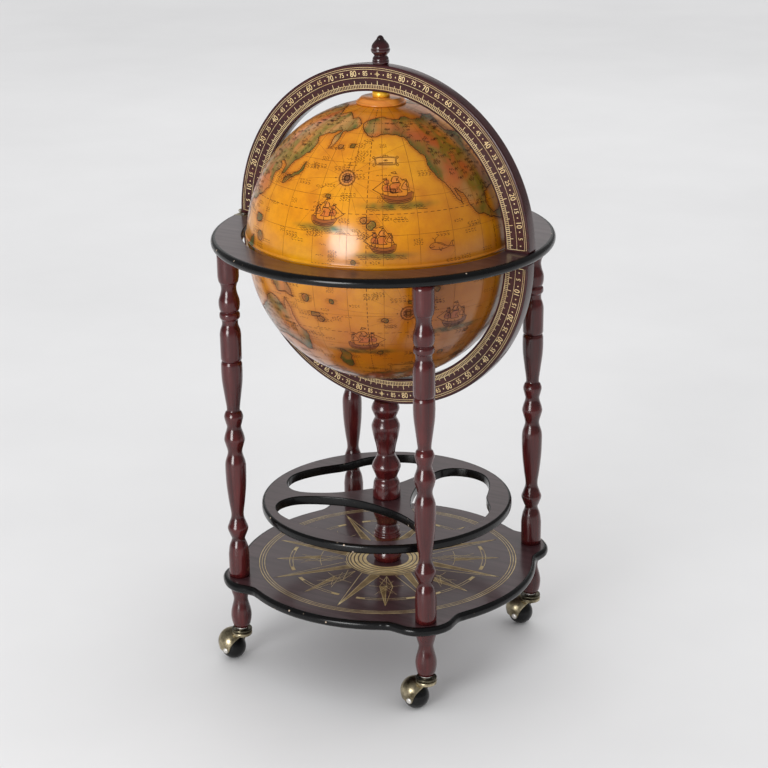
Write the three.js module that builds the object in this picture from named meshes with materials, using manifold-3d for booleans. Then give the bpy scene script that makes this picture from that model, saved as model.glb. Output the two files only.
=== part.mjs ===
// Floor globe bar: a globe whose upper half opens on a hinge over a fitted bar for bottles and glasses.
// A flat horizon ring on four turned legs carries the globe, a turned column stands under it, and
// two shelves and four hooded ball casters finish the stand.
//
// Millimetres, +Z up. The origin is on the floor under the globe's poles. The meridian ring stands
// in the XZ plane, with its hinge at -X and its printed front face looking along -Y.

import * as THREE from 'three';
import { mergeVertices } from 'three/addons/utils/BufferGeometryUtils.js';
import Module from 'manifold-3d';

const wasm = await Module();
wasm.setup();

// Clearances and cuts
const FIT = 0.3; // between pieces that rest on each other or are glued in one another
const RUNNING = 0.4; // round a piece that turns in another
const OVERRUN = 3; // how far a cut runs past the face that it opens
const SIMPLIFY = 0.01; // how far a face may move when needless corners go
const WELD = 0.0001; // mesh corners closer than this are one corner
const SAME_POINT = 0.001; // outline points closer than this are one point

// Globe: the upper half sits a board's thickness above the lower one. Its radius sets the rings, the
// legs, the shelves and the bar round it.
const GLOBE_RADIUS = 200;
const HALF_STEP = 1; // how much less the lower half's radius is
const LOWER_GLOBE_RADIUS = GLOBE_RADIUS - HALF_STEP;
const SHELL_WALL = 4.5;
const LIP_REACH = 1.5;
const LIP_HEIGHT = 2.2;
const POLE_HOLE_RADIUS = 3.6;

// Flat boards: the horizon ring and both shelves
const BOARD = 14;
const EDGE_ROUND = 5.5;

// Heights of the stand, each worked up from the floor
const BALL_RADIUS = 19;
const CASTER_HEIGHT = 57.4;
const FOOT_LENGTH = 70.5;
const LOWER_LEG_LENGTH = 344.4;
const UPPER_LEG_LENGTH = 164.2;
const LOWER_COLUMN_LENGTH = 89.5;

// Meridian rings
const MERIDIAN_THICKNESS = 20;
const MERIDIAN_EDGE = 2;
const UPPER_MERIDIAN_AIR = 7.5; // between the upper shell and its ring
const UPPER_MERIDIAN_WIDTH = 39;
const UPPER_MERIDIAN_RADIUS = GLOBE_RADIUS + UPPER_MERIDIAN_AIR + UPPER_MERIDIAN_WIDTH;
const LOWER_MERIDIAN_AIR = 6.5; // between the lower shell and its ring
const LOWER_MERIDIAN_WIDTH = 39;
const LOWER_MERIDIAN_RADIUS = LOWER_GLOBE_RADIUS + LOWER_MERIDIAN_AIR + LOWER_MERIDIAN_WIDTH;
const LOWER_DROP = 5; // the lower centres lie this far under the ring

// Horizon ring
const RING_MARGIN = 6; // how far it reaches past the upper meridian ring
const RING_CLEARANCE = 7; // from the upper shell out to its inner edge
const RING_OUTER_RADIUS = UPPER_MERIDIAN_RADIUS + RING_MARGIN;
const RING_INNER_RADIUS = GLOBE_RADIUS + RING_CLEARANCE;
const RING_SEAT_THICKNESS = 5;

// Stand in plan
const LEG_RADIUS = 15.8;
const LEG_INSET = 5; // from the horizon ring's edge in to a leg
const LEG_CIRCLE_RADIUS = RING_OUTER_RADIUS - LEG_INSET - LEG_RADIUS;
const COLUMN_RADIUS = 22;
const TENON_RADIUS = 6.5;
const TENON_LENGTH = 24;
const SHORT_TENON_LENGTH = 8;
const COLUMN_TENON_RADIUS = 9;

// Polar fittings
const FINIAL_LENGTH = 40.6;
const FINIAL_RADIUS = 14;
const FINIAL_DOWEL_RADIUS = 4;
const FINIAL_DOWEL_LENGTH = 12;
const CAP_RADIUS = 35.5;
const CAP_TOP_RADIUS = 28;
const CAP_RISE = 1.2;
const CAP_STEP = 2.4;
const SPACER_RADIUS = 12.8;
const BOLT_RADIUS = 3;
const BOLT_GRIP = 14; // how far each bolt enters its meridian ring
const BOLT_HEAD_RADIUS = 8;
const BOLT_HEAD_HEIGHT = 4;

// Lid hinge
const HINGE_BARREL_RADIUS = 2.4;
const HINGE_PIN_RADIUS = 1.2;
const HINGE_LENGTH = 56;
const HINGE_BARREL_LENGTH = 18;
const HINGE_KNUCKLE = 6;
const LEAF_THICKNESS = 1.4;
const LEAF_WIDTH = 22;
const HINGE_STANDOFF = 3.1; // from the meridian's outer edge out to the pin
const HINGE_RISE = 1.6; // from the ring's top up to the pin
const SCREW_HEAD_RADIUS = 3.2;
const SCREW_HEAD_HEIGHT = 1.6;
const SCREW_SHANK_RADIUS = 1.5;
const SCREW_LENGTH = 9;

// Bar fitted in the lower half
const DECK_THICKNESS = 8;
const DECK_DEPTH = 16; // from the ring's top down to the deck's top
const DECK_WIDTH = 97.5; // from the lower shell's inside in to the well
const WELL_RADIUS = LOWER_GLOBE_RADIUS - SHELL_WALL - DECK_WIDTH;
const WELL_WALL = 3;
const WELL_LIP = 5;
const WELL_FLOOR_DROP = 127; // from the lower globe's centre down to the floor board
const WELL_FLOOR_THICKNESS = 6;
const WELL_GROOVE = 2; // how deep the tube stands in the floor board
const GLASS_HOLES = 10;
const GLASS_HOLE_RADIUS = 29;
const GLASS_MARGIN = 12; // from the well's lip out to a glass hole
const GLASS_CIRCLE_RADIUS = WELL_RADIUS + WELL_WALL + WELL_LIP + GLASS_MARGIN + GLASS_HOLE_RADIUS;
const LEDGE_WIDTH = 9;
const LEDGE_HEIGHT = 9;

// Bottle shelf and bottom shelf
const BOTTLE_SHELF_INSET = 25; // from the legs in to its edge
const BOTTLE_SHELF_RADIUS = LEG_CIRCLE_RADIUS - LEG_RADIUS - BOTTLE_SHELF_INSET;
const BOTTOM_SHELF_INSET = 3.2; // from the circle through the legs in to its arcs
const BOTTOM_SHELF_RADIUS = LEG_CIRCLE_RADIUS - BOTTOM_SHELF_INSET;

// Ball caster
const CASTER_TRAIL = 17;
const HOOD_WALL = 1.2;
const DOME_RISE = 8; // the hood's dome stands this far over the ball's centre
const DOME_LEAN = 2;
const AXLE_RADIUS = 2.3;
const RIVET_RADIUS = 3.4;
const RIVET_HEIGHT = 1.2;
const TONGUE_RADIUS = 5.6;
const FLANGE_RADIUS = 15.6;
const FLANGE_THICKNESS = 6.4;
const COLLAR_THICKNESS = 4.8;
const COLLAR_NECK_RADIUS = 8.4;
const COLLAR_NECK_HEIGHT = 3;
const STEM_RADIUS = 3.6;
const STEM_LENGTH = 24;
const PINTLE_RADIUS = 3;
const PINTLE_HEAD_RADIUS = 4.8;
const PINTLE_HEAD_HEIGHT = 1.6;

// Facets
const LEG_SIDES = 9;
const COLUMN_SIDES = 12;
const GLOBE_SIDES = 24;
const GLOBE_BANDS = 8;
const RING_SIDES = 36;
const MERIDIAN_FACETS = 21; // an odd number, so that a flat facet meets each pole
const SMALL_SIDES = 10;
const PIN_SIDES = 8;
const OPENING_STEPS = 22;
const CASTER_SIDES = 12;
const CASTER_BANDS = 6;
const DOME_BANDS = 3;
const ARC_STEPS = 2;

// Outlines of the turned pieces. Each inner list is one smooth stretch of [height, radius] shares
// of the piece's length and radius, and the turned line has an edge where two stretches meet.
const LOWER_LEG_SHARES = [
  [[0, 0.985], [0.105, 0.99]],
  [
    [0.105, 0.99], [0.14, 0.88], [0.176, 0.63], [0.227, 0.985], [0.29, 0.6], [0.39, 0.86],
    [0.506, 0.99], [0.583, 0.69], [0.642, 0.98], [0.697, 0.68], [0.747, 0.9], [0.782, 0.62],
    [0.87, 0.86], [0.93, 0.985], [0.992, 0.99],
  ],
  [[0.992, 0.99], [1, 0.9]],
];
const UPPER_LEG_SHARES = [
  [[0, 0.9], [0.018, 0.985]],
  [[0.018, 0.985], [0.25, 1], [0.29, 0.93], [0.345, 0.75], [0.385, 0.78]],
  [[0.385, 0.82], [0.405, 0.95], [0.445, 0.95], [0.46, 0.81]],
  [[0.46, 0.81], [0.53, 0.985], [0.58, 0.92], [0.675, 0.705], [0.785, 0.99]],
  [[0.785, 0.99], [1, 1]],
];
const FOOT_SHARES = [
  [[0, 0.7], [0.09, 0.88], [0.26, 0.99], [0.415, 0.92], [0.645, 0.685], [0.81, 0.84], [0.94, 0.985]],
  [[0.94, 0.985], [1, 0.99]],
];
const UPPER_COLUMN_SHARES = [
  [[0, 0.965], [0.09, 0.955]],
  [
    [0.09, 0.955], [0.15, 0.885], [0.2, 0.735], [0.27, 0.89], [0.323, 1], [0.38, 0.85],
    [0.46, 0.62], [0.56, 0.72], [0.7, 0.95],
  ],
  [[0.7, 0.95], [0.745, 0.98], [0.835, 0.745], [0.92, 0.965], [1, 0.77]],
];
const LOWER_COLUMN_SHARES = [
  [[0, 0.88], [0.09, 0.99], [0.18, 0.9], [0.28, 0.7], [0.46, 0.955], [0.515, 0.87]],
  [[0.515, 0.87], [0.6, 0.8], [0.685, 0.715], [0.77, 0.82], [0.86, 0.96]],
  [[0.86, 0.96], [1, 0.965]],
];
const FINIAL_SHARES = [
  [[0, 0.84], [0.12, 0.82]],
  [[0.12, 0.78], [0.28, 0.64], [0.4, 0.95], [0.46, 1]],
  [[0.475, 0.93], [0.55, 0.905], [0.65, 0.82], [0.77, 0.6], [0.865, 0.385]],
  [[0.865, 0.385], [0.94, 0.28], [1, 0]],
];

// Plan outlines, as [x, y] shares of their shelf's radius
const SHELF_OPENING_SHARES = [
  [0.314, 0.817], [0.44, 0.786], [0.534, 0.707], [0.613, 0.587], [0.665, 0.471], [0.702, 0.377],
  [0.754, 0.299], [0.828, 0.204], [0.87, 0.105], [0.89, 0], [0.9, -0.094], [0.885, -0.2],
  [0.838, -0.288], [0.754, -0.346], [0.629, -0.351], [0.482, -0.272], [0.314, -0.126], [0.21, 0.026],
  [0.141, 0.189], [0.094, 0.356], [0.079, 0.482], [0.084, 0.618], [0.115, 0.723], [0.189, 0.791],
];
// half of one quarter of the bottom shelf, from the middle of an arc to the middle of an ear
const SHELF_EAR_SHARES = [
  [1, 0], [0.985, 0.174], [0.94, 0.342], [0.886, 0.464], [0.86, 0.525], [0.865, 0.65],
  [0.848, 0.715], [0.793, 0.793],
];

// Levels that follow from the lengths above
const hoodFlats = Math.cos(Math.PI / CASTER_SIDES) * Math.cos(Math.PI / 4 / DOME_BANDS);
const hoodInside = (BALL_RADIUS + RUNNING) / hoodFlats;
const hoodRadius = hoodInside + HOOD_WALL;
const collarBottom = CASTER_HEIGHT - COLLAR_NECK_HEIGHT - COLLAR_THICKNESS;
const flangeTop = collarBottom - RUNNING;
const flangeBottom = flangeTop - FLANGE_THICKNESS;
const footBottom = CASTER_HEIGHT + FIT;
const bottomShelfBottom = footBottom + FOOT_LENGTH + FIT;
const bottomShelfTop = bottomShelfBottom + BOARD;
const legBottom = bottomShelfTop + FIT;
const legJoint = legBottom + LOWER_LEG_LENGTH;
const upperLegBottom = legJoint + FIT;
const ringBottom = upperLegBottom + UPPER_LEG_LENGTH + FIT;
const ringTop = ringBottom + BOARD;
const columnBottom = bottomShelfTop + FIT;
const bottleShelfBottom = columnBottom + LOWER_COLUMN_LENGTH + FIT;
const bottleShelfTop = bottleShelfBottom + BOARD;
const upperColumnBottom = bottleShelfTop + FIT;
const lowerCentre = ringBottom - LOWER_DROP;
const ringSeatRadius = (LOWER_GLOBE_RADIUS + FIT) / Math.cos(Math.PI / RING_SIDES);
const upperColumnTop = lowerCentre - LOWER_MERIDIAN_RADIUS - FIT;
const deckTop = ringTop - DECK_DEPTH;
const deckBottom = deckTop - DECK_THICKNESS;
const upperCentre = ringTop + FIT;
const shellTop = upperCentre + GLOBE_RADIUS;
const capTop = shellTop + CAP_RISE;
const upperInnerEdge = upperCentre + UPPER_MERIDIAN_RADIUS - UPPER_MERIDIAN_WIDTH;
const lowerInnerEdge = lowerCentre - LOWER_MERIDIAN_RADIUS + LOWER_MERIDIAN_WIDTH;
const meridianTop = upperCentre + UPPER_MERIDIAN_RADIUS;

/** Colours and finishes, one function for each material of the bar. */
const finish = (color, roughness, metalness = 0) =>
  new THREE.MeshStandardMaterial({ color, roughness, metalness });
const mahogany = finish(0x5a231d, 0.3);
const darkBoard = finish(0x4a3836, 0.35);
const mapPaper = finish(0xd8831a, 0.35);
const yellowLacquer = finish(0xf2b705, 0.35);
const capWood = finish(0xb5701f, 0.4);
const deckWood = finish(0x5b3522, 0.4);
const wellPaper = finish(0xb98a4a, 0.6);
const brass = finish(0x9a8450, 0.35, 1);
const steel = finish(0xc9c9c4, 0.3, 1);
const blackBall = finish(0x111113, 0.4);

/** A closed manifold solid from a three.js geometry. */
function solid(geometry) {
  const bare = geometry.index ? geometry.toNonIndexed() : geometry.clone();
  bare.deleteAttribute('normal');
  bare.deleteAttribute('uv');
  const merged = mergeVertices(bare, WELD);
  return new wasm.Manifold(new wasm.Mesh({
    numProp: 3,
    vertProperties: new Float32Array(merged.attributes.position.array),
    triVerts: new Uint32Array(merged.index.array),
  }));
}

/** The three.js geometry of a manifold solid. */
function geometryOf(manifold) {
  const mesh = manifold.asOriginal().simplify(SIMPLIFY).getMesh();
  const geometry = new THREE.BufferGeometry();
  geometry.setAttribute('position', new THREE.BufferAttribute(new Float32Array(mesh.vertProperties), 3));
  geometry.setIndex(new THREE.BufferAttribute(new Uint32Array(mesh.triVerts), 1));
  return geometry;
}

/** Twice the signed area of a plane outline: positive when it runs anticlockwise. */
function signedArea(points) {
  return points.reduce((sum, point, i) => {
    const next = points[(i + 1) % points.length];
    return sum + point.x * next.y - next.x * point.y;
  }, 0);
}

/** The solid turned about the Z axis by an outline of (radius, height) points. */
function turned(outline, sides) {
  const points = outline.filter((point, i) => i === 0 || point.distanceTo(outline[i - 1]) > SAME_POINT);
  if (signedArea(points) < 0) points.reverse();
  const first = points[0];
  if (points[points.length - 1].distanceTo(first) > SAME_POINT) points.push(first.clone());
  return solid(new THREE.LatheGeometry(points, sides).rotateX(Math.PI / 2));
}

/** The (radius, height) points of a turned line given as smooth stretches of shares. */
function turnedLine(stretches, bottom, length, radius) {
  return stretches.flatMap((stretch) => {
    const knots = stretch.map(([height, reach]) =>
      new THREE.Vector2(reach * radius, bottom + height * length));
    const curve = knots.length > 2 ? new THREE.SplineCurve(knots) : new THREE.LineCurve(...knots);
    return curve.getPoints(knots.length - 1);
  });
}

/** A turned solid closed on its axis, from its line. */
function turnedSolid(line, sides) {
  const bottom = new THREE.Vector2(0, line[0].y);
  const top = new THREE.Vector2(0, line[line.length - 1].y);
  return turned([bottom, ...line, top], sides);
}

/** A plain round bar standing on `bottom`, at (x, y). */
function bar(radius, bottom, top, sides = PIN_SIDES, x = 0, y = 0) {
  return solid(new THREE.CylinderGeometry(radius, radius, top - bottom, sides)
    .rotateX(Math.PI / 2)
    .translate(x, y, (bottom + top) / 2));
}

/** The cut for a round hole: its flats, not its corners, lie at the radius. */
function hole(radius, bottom, top, sides = PIN_SIDES, x = 0, y = 0) {
  return bar(radius / Math.cos(Math.PI / sides), bottom, top, sides, x, y);
}

/** A box between two corners. */
function block(low, high) {
  const size = high.map((value, i) => value - low[i]);
  const centre = high.map((value, i) => (value + low[i]) / 2);
  return solid(new THREE.BoxGeometry(...size).translate(...centre));
}

/** A regular polygon's corners, for a round outline or hole. */
function roundOutline(radius, sides, x = 0, y = 0) {
  return Array.from({ length: sides }, (_, i) => {
    const angle = (i / sides) * 2 * Math.PI;
    return new THREE.Vector2(x + radius * Math.cos(angle), y + radius * Math.sin(angle));
  });
}

/** A smooth closed outline through the given points. */
function smoothOutline(points, steps) {
  const knots = points.map((point) => new THREE.Vector3(point.x, point.y, 0));
  const curve = new THREE.CatmullRomCurve3(knots, true, 'centripetal');
  return curve.getPoints(steps).slice(0, steps).map((point) => new THREE.Vector2(point.x, point.y));
}

/** A flat board between two heights, with its outer edge rounded by `round`. */
function board(outline, bottom, top, round = 0) {
  const shape = new THREE.Shape(outline);
  const geometry = new THREE.ExtrudeGeometry(shape, {
    depth: top - bottom - round * 2,
    bevelEnabled: round > 0,
    bevelThickness: round,
    bevelSize: round,
    bevelOffset: -round,
    bevelSegments: 1,
  });
  return solid(geometry.translate(0, 0, bottom + round));
}

/** Radius of a half shell's faceted surface at a height over its centre, or its height at a radius. */
function shellRadiusAt(radius, height) {
  const step = Math.PI / 2 / GLOBE_BANDS;
  const band = Math.min(Math.floor(Math.asin(Math.abs(height) / radius) / step), GLOBE_BANDS - 1);
  const [low, high] = [band * step, (band + 1) * step];
  const share = (Math.abs(height) / radius - Math.sin(low)) / (Math.sin(high) - Math.sin(low));
  return radius * (Math.cos(low) + share * (Math.cos(high) - Math.cos(low)));
}

/** Quarter line of a sphere from its equator to the pole hole, up for side 1 and down for side -1. */
function shellLine(radius, centre, side, holeRadius) {
  const line = [];
  for (let band = 0; band < GLOBE_BANDS; band += 1) {
    const angle = (band / GLOBE_BANDS) * Math.PI / 2;
    line.push(new THREE.Vector2(radius * Math.cos(angle), centre + side * radius * Math.sin(angle)));
  }
  line.push(new THREE.Vector2(holeRadius, centre + side * radius * Math.sqrt(1 - (holeRadius / radius) ** 2)));
  return line;
}

/** A half globe: an outer and an inner sphere with the pole hole between them. */
function halfShell(radius, centre, side, rim) {
  const outer = shellLine(radius, centre, side, POLE_HOLE_RADIUS);
  const inner = shellLine(radius - SHELL_WALL, centre, side, POLE_HOLE_RADIUS).reverse();
  const outerRim = new THREE.Vector2(radius, rim);
  const innerRim = new THREE.Vector2(radius - SHELL_WALL, rim);
  return turned([outerRim, ...outer, ...inner, innerRim], GLOBE_SIDES);
}

function buildUpperGlobe() {
  const rim = upperCentre;
  const lipOuter = GLOBE_RADIUS + LIP_REACH;
  const lipInner = GLOBE_RADIUS - SHELL_WALL;
  const lip = turned([
    new THREE.Vector2(lipInner, rim),
    new THREE.Vector2(lipOuter, rim),
    new THREE.Vector2(lipOuter, rim + LIP_HEIGHT),
    new THREE.Vector2(lipInner, rim + LIP_HEIGHT),
  ], GLOBE_SIDES);
  const shell = halfShell(GLOBE_RADIUS, upperCentre, 1, rim);
  return shell.add(lip);
}

function buildLowerGlobe() {
  return halfShell(LOWER_GLOBE_RADIUS, lowerCentre, -1, ringTop - FIT);
}

/** Flat ring with a round outer edge and a seat that grips the lower globe. */
function buildHorizonRing() {
  const edge = [];
  const round = BOARD / 2;
  for (let i = 0; i <= ARC_STEPS * 2; i += 1) {
    const angle = (i / (ARC_STEPS * 2) - 0.5) * Math.PI;
    edge.push(new THREE.Vector2(
      RING_OUTER_RADIUS - round + round * Math.cos(angle),
      ringBottom + round + round * Math.sin(angle),
    ));
  }
  const inside = [
    new THREE.Vector2(RING_INNER_RADIUS, ringTop),
    new THREE.Vector2(RING_INNER_RADIUS, ringBottom + RING_SEAT_THICKNESS),
    new THREE.Vector2(ringSeatRadius, ringBottom + RING_SEAT_THICKNESS),
    new THREE.Vector2(ringSeatRadius, ringBottom),
  ];
  const legSockets = corners.map(({ x, y }) =>
    hole(TENON_RADIUS + FIT, ringBottom - OVERRUN, ringBottom + SHORT_TENON_LENGTH + FIT, PIN_SIDES, x, y));
  const barrelReach = HINGE_BARREL_LENGTH / 2 + FIT;
  const hingeSeat = hingeLeafBlock(HINGE_LENGTH / 2, FIT).add(block(
    [-RING_OUTER_RADIUS - OVERRUN, -barrelReach, ringTop - LEAF_THICKNESS - FIT],
    [-UPPER_MERIDIAN_RADIUS, barrelReach, ringTop + OVERRUN],
  ));
  const screwHoles = screwPlaces.map(([x, y]) =>
    hole(SCREW_SHANK_RADIUS + FIT, ringTop - SCREW_LENGTH - FIT, ringTop + OVERRUN, PIN_SIDES, x, y));
  return [...legSockets, hingeSeat, ...screwHoles]
    .reduce((ring, cut) => ring.subtract(cut), turned([...edge, ...inside], RING_SIDES));
}

/** Half circle of facets whose flats lie at the radius, so that a flat one meets the pole. */
function halfCircle(radius, centre, side) {
  const tangent = radius / Math.cos(Math.PI / MERIDIAN_FACETS / 2);
  return Array.from({ length: MERIDIAN_FACETS + 1 }, (_, i) => {
    const angle = (i / MERIDIAN_FACETS) * Math.PI;
    const reach = i % MERIDIAN_FACETS ? tangent : radius;
    return new THREE.Vector2(reach * Math.cos(angle), centre + side * reach * Math.sin(angle));
  });
}

/** Half of a flat ring standing in the XZ plane, up for side 1 and down for side -1. */
function halfMeridian(radius, width, centre, side, end) {
  const inner = radius - width;
  const outline = [
    new THREE.Vector2(radius, end),
    ...halfCircle(radius, centre, side),
    new THREE.Vector2(-radius, end),
    new THREE.Vector2(-inner, end),
    ...halfCircle(inner, centre, side).reverse(),
    new THREE.Vector2(inner, end),
  ];
  const clean = outline.filter((point, i) => i === 0 || point.distanceTo(outline[i - 1]) > SAME_POINT);
  return board(clean, -MERIDIAN_THICKNESS / 2, MERIDIAN_THICKNESS / 2, MERIDIAN_EDGE).rotate([90, 0, 0]);
}

function buildUpperMeridian() {
  const band = halfMeridian(UPPER_MERIDIAN_RADIUS, UPPER_MERIDIAN_WIDTH, upperCentre, 1, upperCentre);
  const boltHole = hole(BOLT_RADIUS + FIT, upperInnerEdge - OVERRUN, upperInnerEdge + BOLT_GRIP + FIT);
  const finialHole = hole(
    FINIAL_DOWEL_RADIUS + FIT,
    meridianTop - FINIAL_DOWEL_LENGTH,
    meridianTop + OVERRUN,
  );
  const leafSeat = lidLeafBlock(FIT);
  return band.subtract(boltHole).subtract(finialHole).subtract(leafSeat);
}

function buildLowerMeridian() {
  const end = ringBottom - FIT;
  const band = halfMeridian(LOWER_MERIDIAN_RADIUS, LOWER_MERIDIAN_WIDTH, lowerCentre, -1, end);
  const boltHole = hole(BOLT_RADIUS + FIT, lowerInnerEdge - BOLT_GRIP - FIT, lowerInnerEdge + OVERRUN);
  const columnHole = hole(
    TENON_RADIUS + FIT,
    upperColumnTop - OVERRUN,
    upperColumnTop + SHORT_TENON_LENGTH + FIT * 2,
  );
  return band.subtract(boltHole).subtract(columnHole);
}

function buildFinial() {
  const base = meridianTop + FIT;
  const body = turnedSolid(turnedLine(FINIAL_SHARES, base, FINIAL_LENGTH, FINIAL_RADIUS), SMALL_SIDES);
  return body.add(bar(FINIAL_DOWEL_RADIUS, base - FINIAL_DOWEL_LENGTH + FIT, base + FIT));
}

/** Turned cap that follows the globe round its pole, with a smaller step on top. */
function buildPoleCap() {
  const middle = shellTop - CAP_STEP;
  const rimBottom = upperCentre + shellRadiusAt(GLOBE_RADIUS, CAP_RADIUS) - CAP_STEP;
  const disc = turned([
    new THREE.Vector2(POLE_HOLE_RADIUS, rimBottom - CAP_STEP),
    new THREE.Vector2(CAP_RADIUS, rimBottom - CAP_STEP),
    new THREE.Vector2(CAP_RADIUS, middle),
    new THREE.Vector2((CAP_RADIUS + CAP_TOP_RADIUS) / 2, middle + CAP_STEP / 2),
    new THREE.Vector2(CAP_TOP_RADIUS, middle + CAP_STEP / 2),
    new THREE.Vector2(CAP_TOP_RADIUS - CAP_STEP / 2, capTop),
    new THREE.Vector2(POLE_HOLE_RADIUS, capTop),
  ], GLOBE_SIDES);
  const globe = turnedSolid(shellLine(GLOBE_RADIUS + FIT, upperCentre, 1, POLE_HOLE_RADIUS), GLOBE_SIDES);
  return disc.subtract(globe);
}

/** Round spacer on the axis, with a hole for the bolt. */
function spacer(bottom, top) {
  return bar(SPACER_RADIUS, bottom, top, COLUMN_SIDES)
    .subtract(hole(POLE_HOLE_RADIUS, bottom - OVERRUN, top + OVERRUN));
}

/** Height over its centre at which a bolt head clears the inside of a half globe. */
function innerPoleHeight(radius) {
  return shellRadiusAt(radius - SHELL_WALL, BOLT_HEAD_RADIUS) - FIT;
}

/** Bolt on the axis, from its head inside a half globe out into the meridian ring. */
function poleBolt(headFace, tip) {
  const side = Math.sign(tip - headFace);
  const outline = [
    new THREE.Vector2(0, headFace - side * BOLT_HEAD_HEIGHT),
    new THREE.Vector2(BOLT_HEAD_RADIUS, headFace - side * BOLT_HEAD_HEIGHT),
    new THREE.Vector2(BOLT_HEAD_RADIUS, headFace),
    new THREE.Vector2(BOLT_RADIUS, headFace),
    new THREE.Vector2(BOLT_RADIUS, tip),
    new THREE.Vector2(0, tip),
  ];
  return turned(outline, PIN_SIDES);
}

/** Round board of the bar with a bottle well in the middle and glass holes round it. */
function buildDeck() {
  const innerWall = LOWER_GLOBE_RADIUS - SHELL_WALL;
  const reach = Math.min(innerWall, shellRadiusAt(innerWall, lowerCentre - deckBottom)) - FIT;
  const plate = board(roundOutline(reach, GLOBE_SIDES), deckBottom, deckTop);
  const holes = [bar(WELL_RADIUS + WELL_WALL + FIT, deckBottom - OVERRUN, deckTop + OVERRUN, GLOBE_SIDES)];
  for (const [x, y] of glassPlaces) {
    holes.push(bar(GLASS_HOLE_RADIUS, deckBottom - OVERRUN, deckTop + OVERRUN, SMALL_SIDES, x, y));
  }
  return holes.reduce((left, hole) => left.subtract(hole), plate);
}

/** Ledge glued round the inside of the lower globe, under the deck. */
function buildDeckLedge() {
  const top = deckBottom - FIT;
  const bottom = top - LEDGE_HEIGHT;
  const innerWall = LOWER_GLOBE_RADIUS - SHELL_WALL;
  const outerAt = (height) => shellRadiusAt(innerWall, lowerCentre - height) - FIT;
  return turned([
    new THREE.Vector2(outerAt(bottom), bottom),
    new THREE.Vector2(outerAt(top), top),
    new THREE.Vector2(outerAt(top) - LEDGE_WIDTH, top),
    new THREE.Vector2(outerAt(top) - LEDGE_WIDTH, bottom),
  ], GLOBE_SIDES);
}

/** Tube that hangs in the deck by its lip and stands in the floor board's groove. */
function buildBottleWell() {
  const outer = WELL_RADIUS + WELL_WALL;
  const foot = wellFloorTop - WELL_GROOVE + FIT;
  const lipBottom = deckTop + FIT;
  return turned([
    new THREE.Vector2(WELL_RADIUS, foot),
    new THREE.Vector2(outer, foot),
    new THREE.Vector2(outer, lipBottom),
    new THREE.Vector2(outer + WELL_LIP, lipBottom),
    new THREE.Vector2(outer + WELL_LIP, lipBottom + WELL_WALL),
    new THREE.Vector2(WELL_RADIUS, lipBottom + WELL_WALL),
  ], GLOBE_SIDES);
}

/** Board on which the bottles stand, fitted to the lower globe's inside, with a groove for the tube. */
function buildWellFloor() {
  const innerWall = LOWER_GLOBE_RADIUS - SHELL_WALL;
  const reach = (height) => shellRadiusAt(innerWall, lowerCentre - height) - FIT;
  const bottom = wellFloorTop - WELL_FLOOR_THICKNESS;
  return turned([
    new THREE.Vector2(0, bottom),
    new THREE.Vector2(reach(bottom), bottom),
    new THREE.Vector2(reach(bottom), wellFloorTop),
    new THREE.Vector2(WELL_RADIUS + WELL_WALL + FIT, wellFloorTop),
    new THREE.Vector2(WELL_RADIUS + WELL_WALL + FIT, wellFloorTop - WELL_GROOVE),
    new THREE.Vector2(WELL_RADIUS - FIT, wellFloorTop - WELL_GROOVE),
    new THREE.Vector2(WELL_RADIUS - FIT, wellFloorTop),
    new THREE.Vector2(0, wellFloorTop),
  ], GLOBE_SIDES);
}

/** Round shelf with three scrolled openings round its hub. */
function buildBottleShelf() {
  const disc = board(
    roundOutline(BOTTLE_SHELF_RADIUS, RING_SIDES), bottleShelfBottom, bottleShelfTop, EDGE_ROUND,
  );
  const points = SHELF_OPENING_SHARES.map(([x, y]) =>
    new THREE.Vector2(x, y).multiplyScalar(BOTTLE_SHELF_RADIUS));
  const outline = smoothOutline(points, OPENING_STEPS);
  const columnHole = hole(COLUMN_TENON_RADIUS + FIT, bottleShelfBottom - OVERRUN, bottleShelfTop + OVERRUN);
  const openings = [0, 120, 240].map((turn) =>
    board(outline, bottleShelfBottom - OVERRUN, bottleShelfTop + OVERRUN).rotate([0, 0, turn]));
  return [columnHole, ...openings].reduce((shelf, cut) => shelf.subtract(cut), disc);
}

/** Outline of the bottom shelf: four arcs with an ear at each leg between them. */
function bottomShelfOutline() {
  const half = SHELF_EAR_SHARES.map(([x, y]) => new THREE.Vector2(x, y));
  const mirrored = half.slice(1, -1).reverse().map((point) => new THREE.Vector2(point.y, point.x));
  const quarter = [...half, ...mirrored];
  const points = [];
  for (let turn = 0; turn < 4; turn += 1) {
    const angle = (turn * Math.PI) / 2;
    points.push(...quarter.map((point) =>
      point.clone().rotateAround(new THREE.Vector2(), angle).multiplyScalar(BOTTOM_SHELF_RADIUS)));
  }
  return points;
}

function buildBottomShelf() {
  const plate = board(bottomShelfOutline(), bottomShelfBottom, bottomShelfTop, EDGE_ROUND);
  const columnHole = hole(
    COLUMN_TENON_RADIUS + FIT, bottomShelfBottom - OVERRUN, bottomShelfTop + OVERRUN,
  );
  const legHoles = corners.map(({ x, y }) => hole(
    TENON_RADIUS + FIT, bottomShelfBottom - OVERRUN, bottomShelfTop + OVERRUN, PIN_SIDES, x, y,
  ));
  return [columnHole, ...legHoles].reduce((shelf, cut) => shelf.subtract(cut), plate);
}

/** Lower column: tenons go down into the bottom shelf and up through the bottle shelf. */
function buildLowerColumn() {
  const line = turnedLine(LOWER_COLUMN_SHARES, columnBottom, LOWER_COLUMN_LENGTH, COLUMN_RADIUS);
  const tenonTop = upperColumnBottom + TENON_LENGTH;
  return turnedSolid(line, COLUMN_SIDES)
    .add(bar(COLUMN_TENON_RADIUS, bottomShelfBottom, tenonTop));
}

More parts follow.
